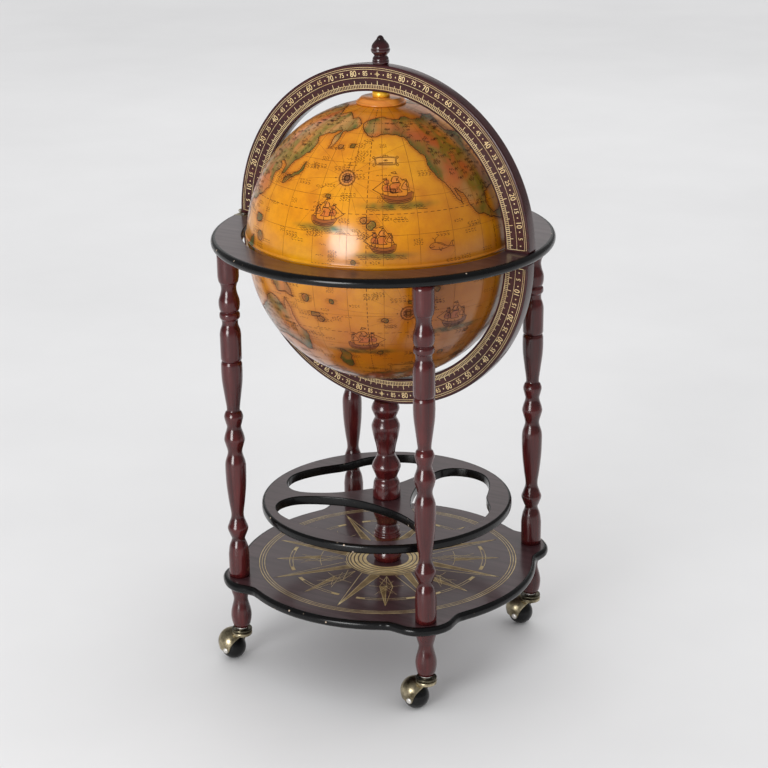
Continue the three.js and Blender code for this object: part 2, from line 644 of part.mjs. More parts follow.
function buildUpperColumn() {
  const length = upperColumnTop - upperColumnBottom;
  const line = turnedLine(UPPER_COLUMN_SHARES, upperColumnBottom, length, COLUMN_RADIUS);
  const socketTop = upperColumnBottom + TENON_LENGTH + FIT;
  return turnedSolid(line, COLUMN_SIDES)
    .add(bar(TENON_RADIUS, upperColumnTop - SHORT_TENON_LENGTH, upperColumnTop + SHORT_TENON_LENGTH))
    .subtract(hole(COLUMN_TENON_RADIUS + FIT, upperColumnBottom - OVERRUN, socketTop));
}

/** Lower leg, modelled on the Z axis: a socket for the foot's tenon below and a tenon above. */
function buildLowerLeg() {
  const line = turnedLine(LOWER_LEG_SHARES, legBottom, LOWER_LEG_LENGTH, LEG_RADIUS);
  const socketTop = legBottom + TENON_LENGTH + FIT;
  return turnedSolid(line, LEG_SIDES)
    .add(bar(TENON_RADIUS, legJoint - TENON_LENGTH, legJoint + TENON_LENGTH))
    .subtract(hole(TENON_RADIUS + FIT, legBottom - OVERRUN, socketTop));
}

function buildUpperLeg() {
  const top = upperLegBottom + UPPER_LEG_LENGTH;
  const line = turnedLine(UPPER_LEG_SHARES, upperLegBottom, UPPER_LEG_LENGTH, LEG_RADIUS);
  const socketTop = upperLegBottom + TENON_LENGTH + FIT;
  return turnedSolid(line, LEG_SIDES)
    .add(bar(TENON_RADIUS, top - SHORT_TENON_LENGTH, top + SHORT_TENON_LENGTH))
    .subtract(hole(TENON_RADIUS + FIT, upperLegBottom - OVERRUN, socketTop));
}

/** Foot under the shelf: its tenon passes through the shelf into the leg, its socket takes a caster. */
function buildFoot() {
  const line = turnedLine(FOOT_SHARES, footBottom, FOOT_LENGTH, LEG_RADIUS);
  const top = footBottom + FOOT_LENGTH;
  return turnedSolid(line, LEG_SIDES)
    .add(bar(TENON_RADIUS, top - SHORT_TENON_LENGTH, legBottom + TENON_LENGTH - FIT))
    .subtract(hole(STEM_RADIUS + FIT, footBottom - OVERRUN, CASTER_HEIGHT + STEM_LENGTH + FIT));
}

/** Fixed caster collar on its stem, with the headed pintle on which the hood swivels. */
function buildCollar() {
  const neckBottom = collarBottom + COLLAR_THICKNESS;
  const edge = COLLAR_THICKNESS / 3;
  const pintleHeadTop = flangeBottom - RUNNING;
  return turned([
    new THREE.Vector2(0, pintleHeadTop - PINTLE_HEAD_HEIGHT),
    new THREE.Vector2(PINTLE_HEAD_RADIUS, pintleHeadTop - PINTLE_HEAD_HEIGHT),
    new THREE.Vector2(PINTLE_HEAD_RADIUS, pintleHeadTop),
    new THREE.Vector2(PINTLE_RADIUS, pintleHeadTop),
    new THREE.Vector2(PINTLE_RADIUS, collarBottom),
    new THREE.Vector2(FLANGE_RADIUS, collarBottom),
    new THREE.Vector2(FLANGE_RADIUS, collarBottom + edge * 2),
    new THREE.Vector2(FLANGE_RADIUS - edge, neckBottom),
    new THREE.Vector2(COLLAR_NECK_RADIUS, neckBottom - edge),
    new THREE.Vector2(COLLAR_NECK_RADIUS, CASTER_HEIGHT),
    new THREE.Vector2(STEM_RADIUS, CASTER_HEIGHT),
    new THREE.Vector2(STEM_RADIUS, CASTER_HEIGHT + STEM_LENGTH),
    new THREE.Vector2(0, CASTER_HEIGHT + STEM_LENGTH),
  ], SMALL_SIDES);
}

/** A capsule round the ball that leans back and rises into the hood's dome. */
function domeSolid(radius) {
  const outline = [];
  const reach = Math.hypot(DOME_RISE, DOME_LEAN);
  for (const [centre, side] of [[0, -1], [reach, 1]]) {
    const arc = Array.from({ length: DOME_BANDS + 1 }, (_, i) => {
      const angle = (i / DOME_BANDS) * Math.PI / 2;
      return new THREE.Vector2(radius * Math.cos(angle), centre + side * radius * Math.sin(angle));
    });
    outline.push(...(side < 0 ? arc.reverse() : arc));
  }
  const tilt = THREE.MathUtils.radToDeg(Math.atan2(DOME_LEAN, DOME_RISE));
  return turned(outline, CASTER_SIDES).rotate([0, -tilt, 0]).translate([-CASTER_TRAIL, 0, BALL_RADIUS]);
}

/** Hood: a domed shell over the back and top of the ball, with a tongue down to the axle on each side. */
function buildHood() {
  const reach = hoodRadius + OVERRUN;
  const outline = new THREE.Shape();
  outline.moveTo(-reach - DOME_LEAN, 0);
  outline.lineTo(-TONGUE_RADIUS, 0);
  outline.absarc(0, 0, TONGUE_RADIUS, Math.PI, Math.PI * 1.8, false);
  outline.lineTo(CASTER_TRAIL, flangeBottom - BALL_RADIUS);
  outline.lineTo(CASTER_TRAIL, flangeTop - BALL_RADIUS);
  outline.lineTo(-reach - DOME_LEAN, flangeTop - BALL_RADIUS);
  outline.closePath();
  const covered = solid(new THREE.ExtrudeGeometry(outline, {
    depth: reach * 2, bevelEnabled: false, curveSegments: ARC_STEPS,
  }).translate(0, 0, -reach).rotateX(Math.PI / 2).translate(-CASTER_TRAIL, 0, BALL_RADIUS));
  const cover = domeSolid(hoodRadius).intersect(covered);
  const edge = FLANGE_THICKNESS / 4;
  const flange = turned([
    new THREE.Vector2(0, flangeBottom),
    new THREE.Vector2(FLANGE_RADIUS - edge, flangeBottom),
    new THREE.Vector2(FLANGE_RADIUS, flangeBottom + edge),
    new THREE.Vector2(FLANGE_RADIUS, flangeTop),
    new THREE.Vector2(0, flangeTop),
  ], SMALL_SIDES);
  return cover.add(flange)
    .subtract(domeSolid(hoodInside))
    .subtract(hole(PINTLE_RADIUS + RUNNING, flangeBottom - OVERRUN, flangeTop + OVERRUN))
    .subtract(hole(PINTLE_HEAD_RADIUS + RUNNING, BALL_RADIUS, flangeBottom))
    .subtract(axleBar((AXLE_RADIUS + FIT) / Math.cos(Math.PI / PIN_SIDES), reach));
}

/** A bar along the axle line, reaching as far each way. */
function axleBar(radius, reach) {
  return solid(new THREE.CylinderGeometry(radius, radius, reach * 2, PIN_SIDES)
    .translate(-CASTER_TRAIL, 0, BALL_RADIUS));
}

function buildBall() {
  const ball = solid(new THREE.SphereGeometry(BALL_RADIUS, CASTER_SIDES, CASTER_BANDS)
    .translate(-CASTER_TRAIL, 0, BALL_RADIUS));
  return ball
    .subtract(axleBar((AXLE_RADIUS + RUNNING) / Math.cos(Math.PI / PIN_SIDES), BALL_RADIUS + OVERRUN));
}

/** Axle pin with a domed rivet head outside each tongue. */
function buildAxle() {
  const face = hoodRadius + FIT;
  const half = [
    new THREE.Vector2(AXLE_RADIUS, face),
    new THREE.Vector2(RIVET_RADIUS, face),
    new THREE.Vector2(RIVET_RADIUS * Math.SQRT1_2, face + RIVET_HEIGHT),
    new THREE.Vector2(0, face + RIVET_HEIGHT),
  ];
  const mirrored = half.map((point) => new THREE.Vector2(point.x, -point.y)).reverse();
  return turned([...mirrored, ...half], PIN_SIDES)
    .rotate([90, 0, 0])
    .translate([-CASTER_TRAIL, 0, BALL_RADIUS]);
}

/** Flat hinge leaf seated in the ring's top, grown by `play` for its recess. */
function hingeLeafBlock(halfLength, play) {
  const outer = -UPPER_MERIDIAN_RADIUS - FIT;
  return block(
    [outer - play, -halfLength - play, ringTop - LEAF_THICKNESS - play],
    [outer + LEAF_WIDTH + play, halfLength + play, ringTop + (play ? OVERRUN : 0)],
  );
}

/** Flat leaf seated in the end of the upper meridian, grown by `play` for its recess. */
function lidLeafBlock(play) {
  const outer = -UPPER_MERIDIAN_RADIUS;
  const half = HINGE_BARREL_LENGTH / 2 - FIT;
  const bottom = ringTop + FIT * 2;
  return block(
    [outer - (play ? OVERRUN : 0), -half - play, bottom - (play ? OVERRUN : 0)],
    [outer + LEAF_WIDTH + play, half + play, bottom + LEAF_THICKNESS + play],
  );
}

/** One knuckle of the hinge barrel between two places along the pin, with its web to a leaf. */
function knuckle(from, to, webTo, webBottom, webTop) {
  const roll = solid(new THREE.CylinderGeometry(
    HINGE_BARREL_RADIUS, HINGE_BARREL_RADIUS, to - from, PIN_SIDES,
  ).translate(hingeX, (from + to) / 2, hingeZ));
  return roll.add(block([hingeX, from, webBottom], [webTo, to, webTop]));
}

/** Hole along the hinge for its pin. */
function pinHole() {
  const radius = (HINGE_PIN_RADIUS + FIT) / Math.cos(Math.PI / PIN_SIDES);
  return solid(new THREE.CylinderGeometry(radius, radius, HINGE_BARREL_LENGTH + OVERRUN, PIN_SIDES)
    .translate(hingeX, 0, hingeZ));
}

function buildRingLeaf() {
  const half = HINGE_BARREL_LENGTH / 2;
  const inner = HINGE_KNUCKLE / 2 + FIT;
  const webTo = -UPPER_MERIDIAN_RADIUS + FIT;
  const [low, high] = [ringTop - LEAF_THICKNESS, ringTop];
  const holes = screwPlaces.map(([x, y]) =>
    hole(SCREW_SHANK_RADIUS + FIT, ringTop - OVERRUN, ringTop + OVERRUN, PIN_SIDES, x, y));
  const leaf = hingeLeafBlock(HINGE_LENGTH / 2, 0)
    .add(knuckle(-half, -inner, webTo, low, high))
    .add(knuckle(inner, half, webTo, low, high))
    .subtract(pinHole());
  return holes.reduce((left, hole) => left.subtract(hole), leaf);
}

function buildLidLeaf() {
  const half = HINGE_KNUCKLE / 2;
  const bottom = ringTop + FIT * 2;
  return lidLeafBlock(0)
    .add(knuckle(-half, half, -UPPER_MERIDIAN_RADIUS + FIT, bottom, bottom + LEAF_THICKNESS))
    .subtract(pinHole());
}

function buildHingePin() {
  return solid(new THREE.CylinderGeometry(
    HINGE_PIN_RADIUS, HINGE_PIN_RADIUS, HINGE_BARREL_LENGTH, PIN_SIDES,
  ).translate(hingeX, 0, hingeZ));
}

/** Domed screw that holds the ring leaf, modelled on the Z axis. */
function buildHingeScrew() {
  const seat = ringTop + FIT;
  return turned([
    new THREE.Vector2(0, ringTop - SCREW_LENGTH),
    new THREE.Vector2(SCREW_SHANK_RADIUS, ringTop - SCREW_LENGTH),
    new THREE.Vector2(SCREW_SHANK_RADIUS, seat),
    new THREE.Vector2(SCREW_HEAD_RADIUS, seat),
    new THREE.Vector2(SCREW_HEAD_RADIUS * Math.SQRT1_2, seat + SCREW_HEAD_HEIGHT),
    new THREE.Vector2(0, seat + SCREW_HEAD_HEIGHT),
  ], PIN_SIDES);
}

// Places that repeat: the four legs on the diagonals, the glass holes and the hinge screws
const legOffset = LEG_CIRCLE_RADIUS / Math.SQRT2;
const corners = [
  { name: 'right_front', x: legOffset, y: -legOffset },
  { name: 'left_front', x: -legOffset, y: -legOffset },
  { name: 'left_back', x: -legOffset, y: legOffset },
  { name: 'right_back', x: legOffset, y: legOffset },
];
const glassPlaces = Array.from({ length: GLASS_HOLES }, (_, i) => {
  const angle = ((i + 0.5) / GLASS_HOLES) * 2 * Math.PI;
  return [GLASS_CIRCLE_RADIUS * Math.cos(angle), GLASS_CIRCLE_RADIUS * Math.sin(angle)];
});
const hingeX = -UPPER_MERIDIAN_RADIUS - HINGE_STANDOFF;
const hingeZ = ringTop + HINGE_RISE;
const wellFloorTop = lowerCentre - WELL_FLOOR_DROP + WELL_FLOOR_THICKNESS;
const screwX = -UPPER_MERIDIAN_RADIUS + LEAF_WIDTH / 2;
const screwY = (HINGE_LENGTH + HINGE_BARREL_LENGTH) / 4;
const screwPlaces = [
  [screwX, -screwY],
  [screwX, screwY],
];

const globeBar = new THREE.Group();

/** Adds a named mesh of a solid to a group. */
function place(parent, name, manifold, material) {
  const mesh = new THREE.Mesh(geometryOf(manifold), material);
  mesh.name = name;
  parent.add(mesh);
  return mesh;
}

// Stand: boards and column
place(globeBar, 'bottom_shelf', buildBottomShelf(), darkBoard);
place(globeBar, 'column_lower', buildLowerColumn(), mahogany);
place(globeBar, 'bottle_shelf', buildBottleShelf(), darkBoard);
place(globeBar, 'column_upper', buildUpperColumn(), mahogany);
place(globeBar, 'horizon_ring', buildHorizonRing(), darkBoard);
place(globeBar, 'meridian_lower', buildLowerMeridian(), darkBoard);

// Legs, feet and casters, one set at each corner
const cornerPieces = [
  ['leg_upper', buildUpperLeg(), mahogany],
  ['leg_lower', buildLowerLeg(), mahogany],
  ['foot', buildFoot(), mahogany],
  ['caster_collar', buildCollar(), brass],
  ['caster_hood', buildHood(), brass],
  ['caster_axle', buildAxle(), steel],
  ['caster_ball', buildBall(), blackBall],
];
for (const { name, x, y } of corners) {
  const corner = new THREE.Group();
  corner.position.set(x, y, 0);
  for (const [piece, manifold, material] of cornerPieces) {
    place(corner, `${piece}_${name}`, manifold, material);
  }
  globeBar.add(corner);
}

// Lower half of the globe and the bar in it
const lowerPole = lowerCentre - LOWER_GLOBE_RADIUS;
place(globeBar, 'globe_lower', buildLowerGlobe(), mapPaper);
place(globeBar, 'pole_spacer_lower', spacer(lowerInnerEdge + FIT, lowerPole - FIT), yellowLacquer);
const lowerBoltHead = lowerCentre - innerPoleHeight(LOWER_GLOBE_RADIUS);
place(globeBar, 'pole_bolt_lower', poleBolt(lowerBoltHead, lowerInnerEdge - BOLT_GRIP), steel);
place(globeBar, 'bar_deck', buildDeck(), deckWood);
place(globeBar, 'deck_ledge', buildDeckLedge(), deckWood);
place(globeBar, 'bottle_well', buildBottleWell(), wellPaper);
place(globeBar, 'well_floor', buildWellFloor(), deckWood);

// Lid: the upper half with its meridian ring
place(globeBar, 'globe_upper', buildUpperGlobe(), mapPaper);
place(globeBar, 'meridian_upper', buildUpperMeridian(), darkBoard);
place(globeBar, 'pole_cap', buildPoleCap(), capWood);
place(globeBar, 'pole_spacer_upper', spacer(capTop + FIT, upperInnerEdge - FIT), yellowLacquer);
const upperBoltHead = upperCentre + innerPoleHeight(GLOBE_RADIUS);
place(globeBar, 'pole_bolt_upper', poleBolt(upperBoltHead, upperInnerEdge + BOLT_GRIP), steel);
place(globeBar, 'finial', buildFinial(), mahogany);

// Hinge
place(globeBar, 'hinge_leaf_ring', buildRingLeaf(), brass);
place(globeBar, 'hinge_leaf_lid', buildLidLeaf(), brass);
place(globeBar, 'hinge_pin', buildHingePin(), steel);
const screwNames = ['hinge_screw_front', 'hinge_screw_back'];
screwPlaces.forEach(([x, y], i) => {
  place(globeBar, screwNames[i], buildHingeScrew(), steel).position.set(x, y, 0);
});

export default globeBar;
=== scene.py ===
# %% [markdown]
# # Floor globe bar
#
# A globe bar stands on four turned legs. A flat ring carries the lower half of the globe, the upper half
# is its lid, and two shelves tie the legs together. A CAD model gives every piece its place and size as
# plain solids. This lesson dresses them: turned wood, boards with rounded black edges, gold print, an old
# map in a layout of our own, brass ball casters, and a small studio. Each could be modelled by hand. Here
# every surface is worked out with numpy from its formula, so that a size is written only once.
#
# A piece made here rides on one of those bodies and stands in for a CAD node.

# %% Load the tools and the CAD model
import math

import bpy
import numpy as np
from mathutils import Matrix, Vector
from mathutils.geometry import tessellate_polygon


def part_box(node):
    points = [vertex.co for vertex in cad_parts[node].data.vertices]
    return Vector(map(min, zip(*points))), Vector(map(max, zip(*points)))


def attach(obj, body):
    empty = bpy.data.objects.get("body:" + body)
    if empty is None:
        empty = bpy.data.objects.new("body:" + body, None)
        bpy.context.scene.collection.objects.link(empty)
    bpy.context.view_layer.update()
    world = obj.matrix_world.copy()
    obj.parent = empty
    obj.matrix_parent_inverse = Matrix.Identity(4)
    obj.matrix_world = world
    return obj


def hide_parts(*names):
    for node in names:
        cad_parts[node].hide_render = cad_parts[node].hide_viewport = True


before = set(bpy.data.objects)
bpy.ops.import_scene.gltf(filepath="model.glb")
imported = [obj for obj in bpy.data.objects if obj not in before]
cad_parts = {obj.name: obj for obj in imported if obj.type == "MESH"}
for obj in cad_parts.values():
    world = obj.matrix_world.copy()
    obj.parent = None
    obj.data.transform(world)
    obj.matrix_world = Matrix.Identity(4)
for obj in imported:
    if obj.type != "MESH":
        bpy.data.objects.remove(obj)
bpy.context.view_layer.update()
print("CAD nodes:", len(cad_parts))

# %% [markdown]
# ## Sizes
#
# A dressed piece has to fill the place of its solid, so heights and radii are read from the CAD nodes'
# boxes and not typed again. Only what a box can't tell is written down, like how thick the shell is and
# how far the dome sits below the lid's plane. Lengths are in millimetres until a mesh is made; Blender
# counts in metres, and MM turns one into the other.

# %% Read the CAD boxes
MM = 0.001


def span(node):
    """Lowest and highest corner of a CAD node in millimetres."""
    low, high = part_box(node)
    return np.array(low) / MM, np.array(high) / MM


CORNERS = ("right_front", "left_front", "left_back", "right_back")
ring_low, ring_high = span("horizon_ring")
upper_low, upper_high = span("globe_upper")
lower_low, lower_high = span("globe_lower")
bottom_shelf_low, bottom_shelf_high = span("bottom_shelf")
bottle_shelf_low, bottle_shelf_high = span("bottle_shelf")
UPPER_MERIDIAN = span("meridian_upper")[1][0]
LOWER_MERIDIAN = span("meridian_lower")[1][0]
LID_BOTTOM = upper_low[2]
print(f"horizon ring {2 * ring_high[0]:.1f} mm across, the lid's plane {LID_BOTTOM:.1f} mm up")

# %% Values of the globe
GLOBE = 200.0
LOWER_GLOBE = 199.0
WALL = 4.5
DOME_DROP = 6.3
UPPER_CENTRE = LID_BOTTOM - DOME_DROP
LOWER_CENTRE = lower_low[2] + LOWER_GLOBE
GAP = 0.3
print(f"centres of the halves at {UPPER_CENTRE:.1f} and {LOWER_CENTRE:.1f} mm")

# %% [markdown]
# ## Curves
#
# A turner's profile is a row of soft bulges and hollows. Straight lines between measured points would
# look cut with a knife, and a Bezier curve needs handles for every point. A curve that simply passes
# through its points is easier to measure, so it is used for profiles and for the outlines of boards.

# %% Smooth curves through points


def unit(vectors):
    """Vectors divided by their lengths."""
    return vectors / np.maximum(np.linalg.norm(vectors, axis=-1, keepdims=True), 1e-9)


def smooth_line(points, steps=6):
    """Curve through all points. Between b and c, with neighbours a and d and t from 0 to 1, it is half of
    2b + (c - a) t + (2a - 5b + 4c - d) t squared + (3b - 3c + d - a) t cubed."""
    p = np.asarray(points, float)
    q = np.vstack([2 * p[0] - p[1], p, 2 * p[-1] - p[-2]])[:, None]
    t = (np.arange(steps) / steps)[:, None]
    a, b, c, d = q[:-3], q[1:-2], q[2:-1], q[3:]
    curve = 0.5 * (2 * b + (c - a) * t + (2 * a - 5 * b + 4 * c - d) * t ** 2
                   + (3 * b - 3 * c + d - a) * t ** 3)
    return np.vstack([curve.reshape(-1, p.shape[1]), p[-1:]])


def smooth_loop(points, steps=6):
    """The same curve, closed on itself."""
    p = np.asarray(points, float)
    line = smooth_line(np.vstack([p[-1], p, p[0], p[1]]), steps)
    return line[steps:-steps - 1]


def circle(radius, count=128, centre=(0, 0)):
    """Round outline, counter-clockwise: (radius cos a, radius sin a) about the centre."""
    angle = np.arange(count) * 2 * math.pi / count
    return np.stack([centre[0] + radius * np.cos(angle), centre[1] + radius * np.sin(angle)], 1)


print("a square as a smooth loop:", len(smooth_loop([(0, 0), (1, 0), (1, 1), (0, 1)])), "points")

# %% [markdown]
# ## From a grid of points to a skin
#
# Nearly every surface here is a grid: rows of points, one above the other, each row closed on itself.
# Bridge Edge Loops could skin them. Working out the faces' point numbers as one array does the same for
# all of them, and lets a row that shrinks to a single point close a pole. A turned piece is such a grid
# too: a profile of (radius, height) spun about an upright axis.

# %% Skin a grid, and turn a profile


def sheet(grid):
    """Points, faces and each face's band for rows of points that are closed along the row. A face joins
    point i and the next of one row to the same two of the next row. A row whose points all coincide is
    kept as one point, with three-cornered faces round it."""
    single = np.ptp(grid, axis=1).max(-1) < 1e-6
    kept = np.ones(grid.shape[:2], bool)
    kept[single, 1:] = False
    ids = np.cumsum(kept).reshape(kept.shape) - 1
    quads = np.stack([ids[:-1], np.roll(ids[:-1], -1, 1), np.roll(ids[1:], -1, 1), ids[1:]], -1)
    faces, bands = [], []
    for band, ring in enumerate(quads):
        if single[band] and single[band + 1]:
            continue
        corners = [0, 2, 3] if single[band] else [0, 1, 3] if single[band + 1] else [0, 1, 2, 3]
        faces += ring[:, corners].tolist()
        bands += [band] * len(ring)
    return grid[kept], faces, np.array(bands)


def lathe(profile, sides, centre=(0.0, 0.0)):
    """Profile turned about an upright axis: at angle a the point is (r cos a, r sin a, z)."""
    profile = np.asarray(profile, float)
    angle = np.arange(sides) * 2 * math.pi / sides
    r, z = profile[:, :1], profile[:, 1:]
    return sheet(np.stack([centre[0] + r * np.cos(angle), centre[1] + r * np.sin(angle), z + 0 * angle], -1))


def facing_out(points, faces):
    """Faces turned so that they enclose a positive volume: six times it is the sum, over all triangles
    a, b, c, of a times the cross product of b and c."""
    triangles = []
    for count in sorted(set(map(len, faces))):
        same = np.array([face for face in faces if len(face) == count])
        triangles += [same[:, [0, k, k + 1]] for k in range(1, count - 1)]
    a, b, c = np.moveaxis(np.asarray(points)[np.concatenate(triangles)], 1, 0)
    return faces if np.sum(a * np.cross(b, c)) > 0 else [face[::-1] for face in faces]


points, faces, bands = lathe([(0, 0), (1, 0), (1, 1), (0, 1)], 8)
print("a drum with 8 sides:", len(points), "points,", len(faces), "faces,", bands.max() + 1, "bands")

# %% [markdown]
# ## Boards
#
# Shelves, ring and deck are sawn boards with rounded edges. A Bevel modifier would round a flat plate,
# but it stumbles over many short edges close together. So the edge is made first: the outline is moved
# inwards by a distance that follows a quarter circle while the height goes up. The two flat faces are
# then filled with triangles between outline and holes.

# %% Round the edge of an outline


def inset(outline, distance):
    """Outline moved to its left by a distance, along the middle of its two neighbouring edges' normals.
    At a corner it goes further, by one over the cosine of half the turn."""
    def left_of(edges):
        return np.stack([-edges[:, 1], edges[:, 0]], 1)

    before = left_of(unit(outline - np.roll(outline, 1, 0)))
    after = left_of(unit(np.roll(outline, -1, 0) - outline))
    middle = unit(before + after)
    reach = 1 / np.clip((middle * after).sum(1), 0.6, 1)
    return outline + middle * (distance * reach)[:, None]


def edge_grid(outline, bottom, top, radius, steps):
    """Rows up the edge of a board. With u from 0 to a quarter turn the lower rows lie radius (1 - sin u)
    inside the outline at height radius (1 - cos u), and the upper rows the other way round."""
    u = np.linspace(0, math.pi / 2, steps + 1)
    distance = radius * np.concatenate([1 - np.sin(u), 1 - np.cos(u)])
    height = np.concatenate([bottom + radius * (1 - np.cos(u)), top - radius * (1 - np.sin(u))])
    if top - bottom - 2 * radius < 0.01:
        distance, height = np.delete(distance, steps + 1), np.delete(height, steps + 1)
    return np.stack([np.column_stack([inset(outline, d), np.full(len(outline), z)])
                     for d, z in zip(distance, height)])


print("rows up a 14 mm edge:", len(edge_grid(circle(50), 0, 14, 4, 6)))

# %% Fill a board between its outline and holes


def flat_faces(loops, ids, up):
    """Triangles that fill the first loop less the others, turned to look up or down by the sign of their
    area, which is half the cross product of two sides."""
    flat = np.vstack(loops)
    corners = np.array(tessellate_polygon([[Vector((x, y, 0)) for x, y in loop] for loop in loops]))
    a, b, c = np.moveaxis(flat[corners], 1, 0)
    area = (b - a)[:, 0] * (c - a)[:, 1] - (b - a)[:, 1] * (c - a)[:, 0]
    corners = np.where((area * up > 0)[:, None], corners, corners[:, [0, 2, 1]])
    return ids[corners[np.abs(area) > 1e-9]].tolist()


def board(outline, holes, bottom, top, edge, hole_edge, steps=6):
    """Flat board from an outline that runs counter-clockwise and holes that run clockwise. Returns points,
    faces, and 1 for each face of an edge or 0 for a flat one."""
    parts, start, feet, heads = [], 0, [], []
    for loop, radius in [(outline, edge)] + [(hole, hole_edge) for hole in holes]:
        grid = edge_grid(loop, bottom, top, radius, steps)
        points, faces, _ = sheet(grid)
        parts.append((points, faces, np.ones(len(faces), int)))
        ids = start + np.arange(len(points)).reshape(grid.shape[:2])
        feet.append((grid[0, :, :2], ids[0]))
        heads.append((grid[-1, :, :2], ids[-1]))
        start += len(points)
    points, faces, kind = join(*parts)
    for rows, up in ((feet, -1), (heads, 1)):
        faces += flat_faces([loop for loop, _ in rows], np.concatenate([ids for _, ids in rows]), up)
    return points, faces, np.append(kind, np.zeros(len(faces) - len(kind), int))


def join(*parts):
    """Several (points, faces, kinds) as one, each with its point numbers counted on from the last."""
    starts = np.cumsum([0] + [len(points) for points, _, _ in parts])
    faces = []
    for (_, group, _), start in zip(parts, starts.tolist()):
        faces += [[i + start for i in face] for face in group]
    return np.vstack([p for p, _, _ in parts]), faces, np.concatenate([k for _, _, k in parts])


points, faces, kind = board(circle(50, 48), [circle(10, 24)[::-1]], 0, 14, 3, 1)
print("a round board with one hole:", len(faces), "faces,", int(kind.sum()), "of them on edges")

# %% [markdown]
# ## From arrays to a Blender object
#
# `make` puts the arrays into a mesh, gives each face its material and each point its painted values,
# hangs the piece under the body that carries it, and hides the CAD nodes that it stands in for. The object
# stays at the origin, unturned, so that object coordinates are those of the room. `carve` takes boxes out
# of a closed piece, as a joiner chisels a recess for a hinge leaf. That is a Boolean modifier's work,
# because the recess cuts across faces of the finished board.

# %% Make a piece


def linked(name, data):
    """A new object with its data, in the scene."""
    thing = bpy.data.objects.new(name, data)
    bpy.context.scene.collection.objects.link(thing)
    return thing


def make(name, points, faces, body, looks, kind=None, flat=(), replaces=(), values=None):
    """A piece from points in millimetres. A face takes the look of its kind, and those whose kind is in
    `flat` are shaded flat. Values are numbers or colours kept on the points."""
    mesh = bpy.data.meshes.new(name)
    mesh.from_pydata((np.asarray(points) * MM).tolist(), [], faces)
    for look in looks:
        mesh.materials.append(look)
    kind = np.zeros(len(faces), int) if kind is None else np.asarray(kind)
    mesh.polygons.foreach_set("material_index", np.minimum(kind, len(looks) - 1).astype(np.int32))
    mesh.polygons.foreach_set("use_smooth", ~np.isin(kind, list(flat)))
    for label, data in (values or {}).items():
        if data.ndim == 2:
            layer = mesh.attributes.new(label, "FLOAT_COLOR", "POINT")
            rgba = np.concatenate([data, np.ones((len(data), 1))], 1)
            layer.data.foreach_set("color", rgba.astype(np.float32).ravel())
        else:
            layer = mesh.attributes.new(label, "FLOAT", "POINT")
            layer.data.foreach_set("value", data.astype(np.float32))
    mesh.update()
    thing = linked(name, mesh)
    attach(thing, body)
    if replaces:
        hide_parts(*replaces)
    print(f"{name}: {len(points)} points, {len(faces)} faces")
    return thing


# %% Carve a recess


def carve(thing, boxes):
    """Cuts boxes, each two opposite corners in millimetres, out of a closed piece."""
    for low, high in boxes:
        x, y, z = zip(np.array(low) * MM, np.array(high) * MM)
        points = [(x[i & 1], y[i >> 1 & 1], z[i >> 2]) for i in range(8)]
        faces = [(0, 2, 3, 1), (4, 5, 7, 6), (0, 1, 5, 4), (2, 6, 7, 3), (0, 4, 6, 2), (1, 3, 7, 5)]
        mesh = bpy.data.meshes.new("cutter")
        mesh.from_pydata(points, [], faces)
        cutter = linked("cutter", mesh)
        cut = thing.modifiers.new("cut", "BOOLEAN")
        cut.operation, cut.object, cut.solver = "DIFFERENCE", cutter, "EXACT"
        done = bpy.data.meshes.new_from_object(thing.evaluated_get(bpy.context.evaluated_depsgraph_get()))
        thing.modifiers.remove(cut)
        thing.data = done
        bpy.data.objects.remove(cutter)
    print(f"{thing.name}: {len(boxes)} recesses cut, {len(thing.data.polygons)} faces left")

# %% [markdown]
# ## Materials: colours and nodes
#
# Colours are written as they look on a screen, from 0 to 255, and turned into the linear light that
# Blender counts in. Finishes could be pictures; as node graphs, with noise for streaks and patina, they
# stay crisp at any distance, and object coordinates give the grain one scale on every piece.

# %% Colours, and a short way to write node graphs


def colour(red, green, blue):
    """Screen colour as linear light: c / 12.92 up to 0.04045, ((c + 0.055) / 1.055) to the power 2.4
    above."""
    c = np.array([red, green, blue]) / 255
    return tuple(np.where(c <= 0.04045, c / 12.92, ((c + 0.055) / 1.055) ** 2.4))


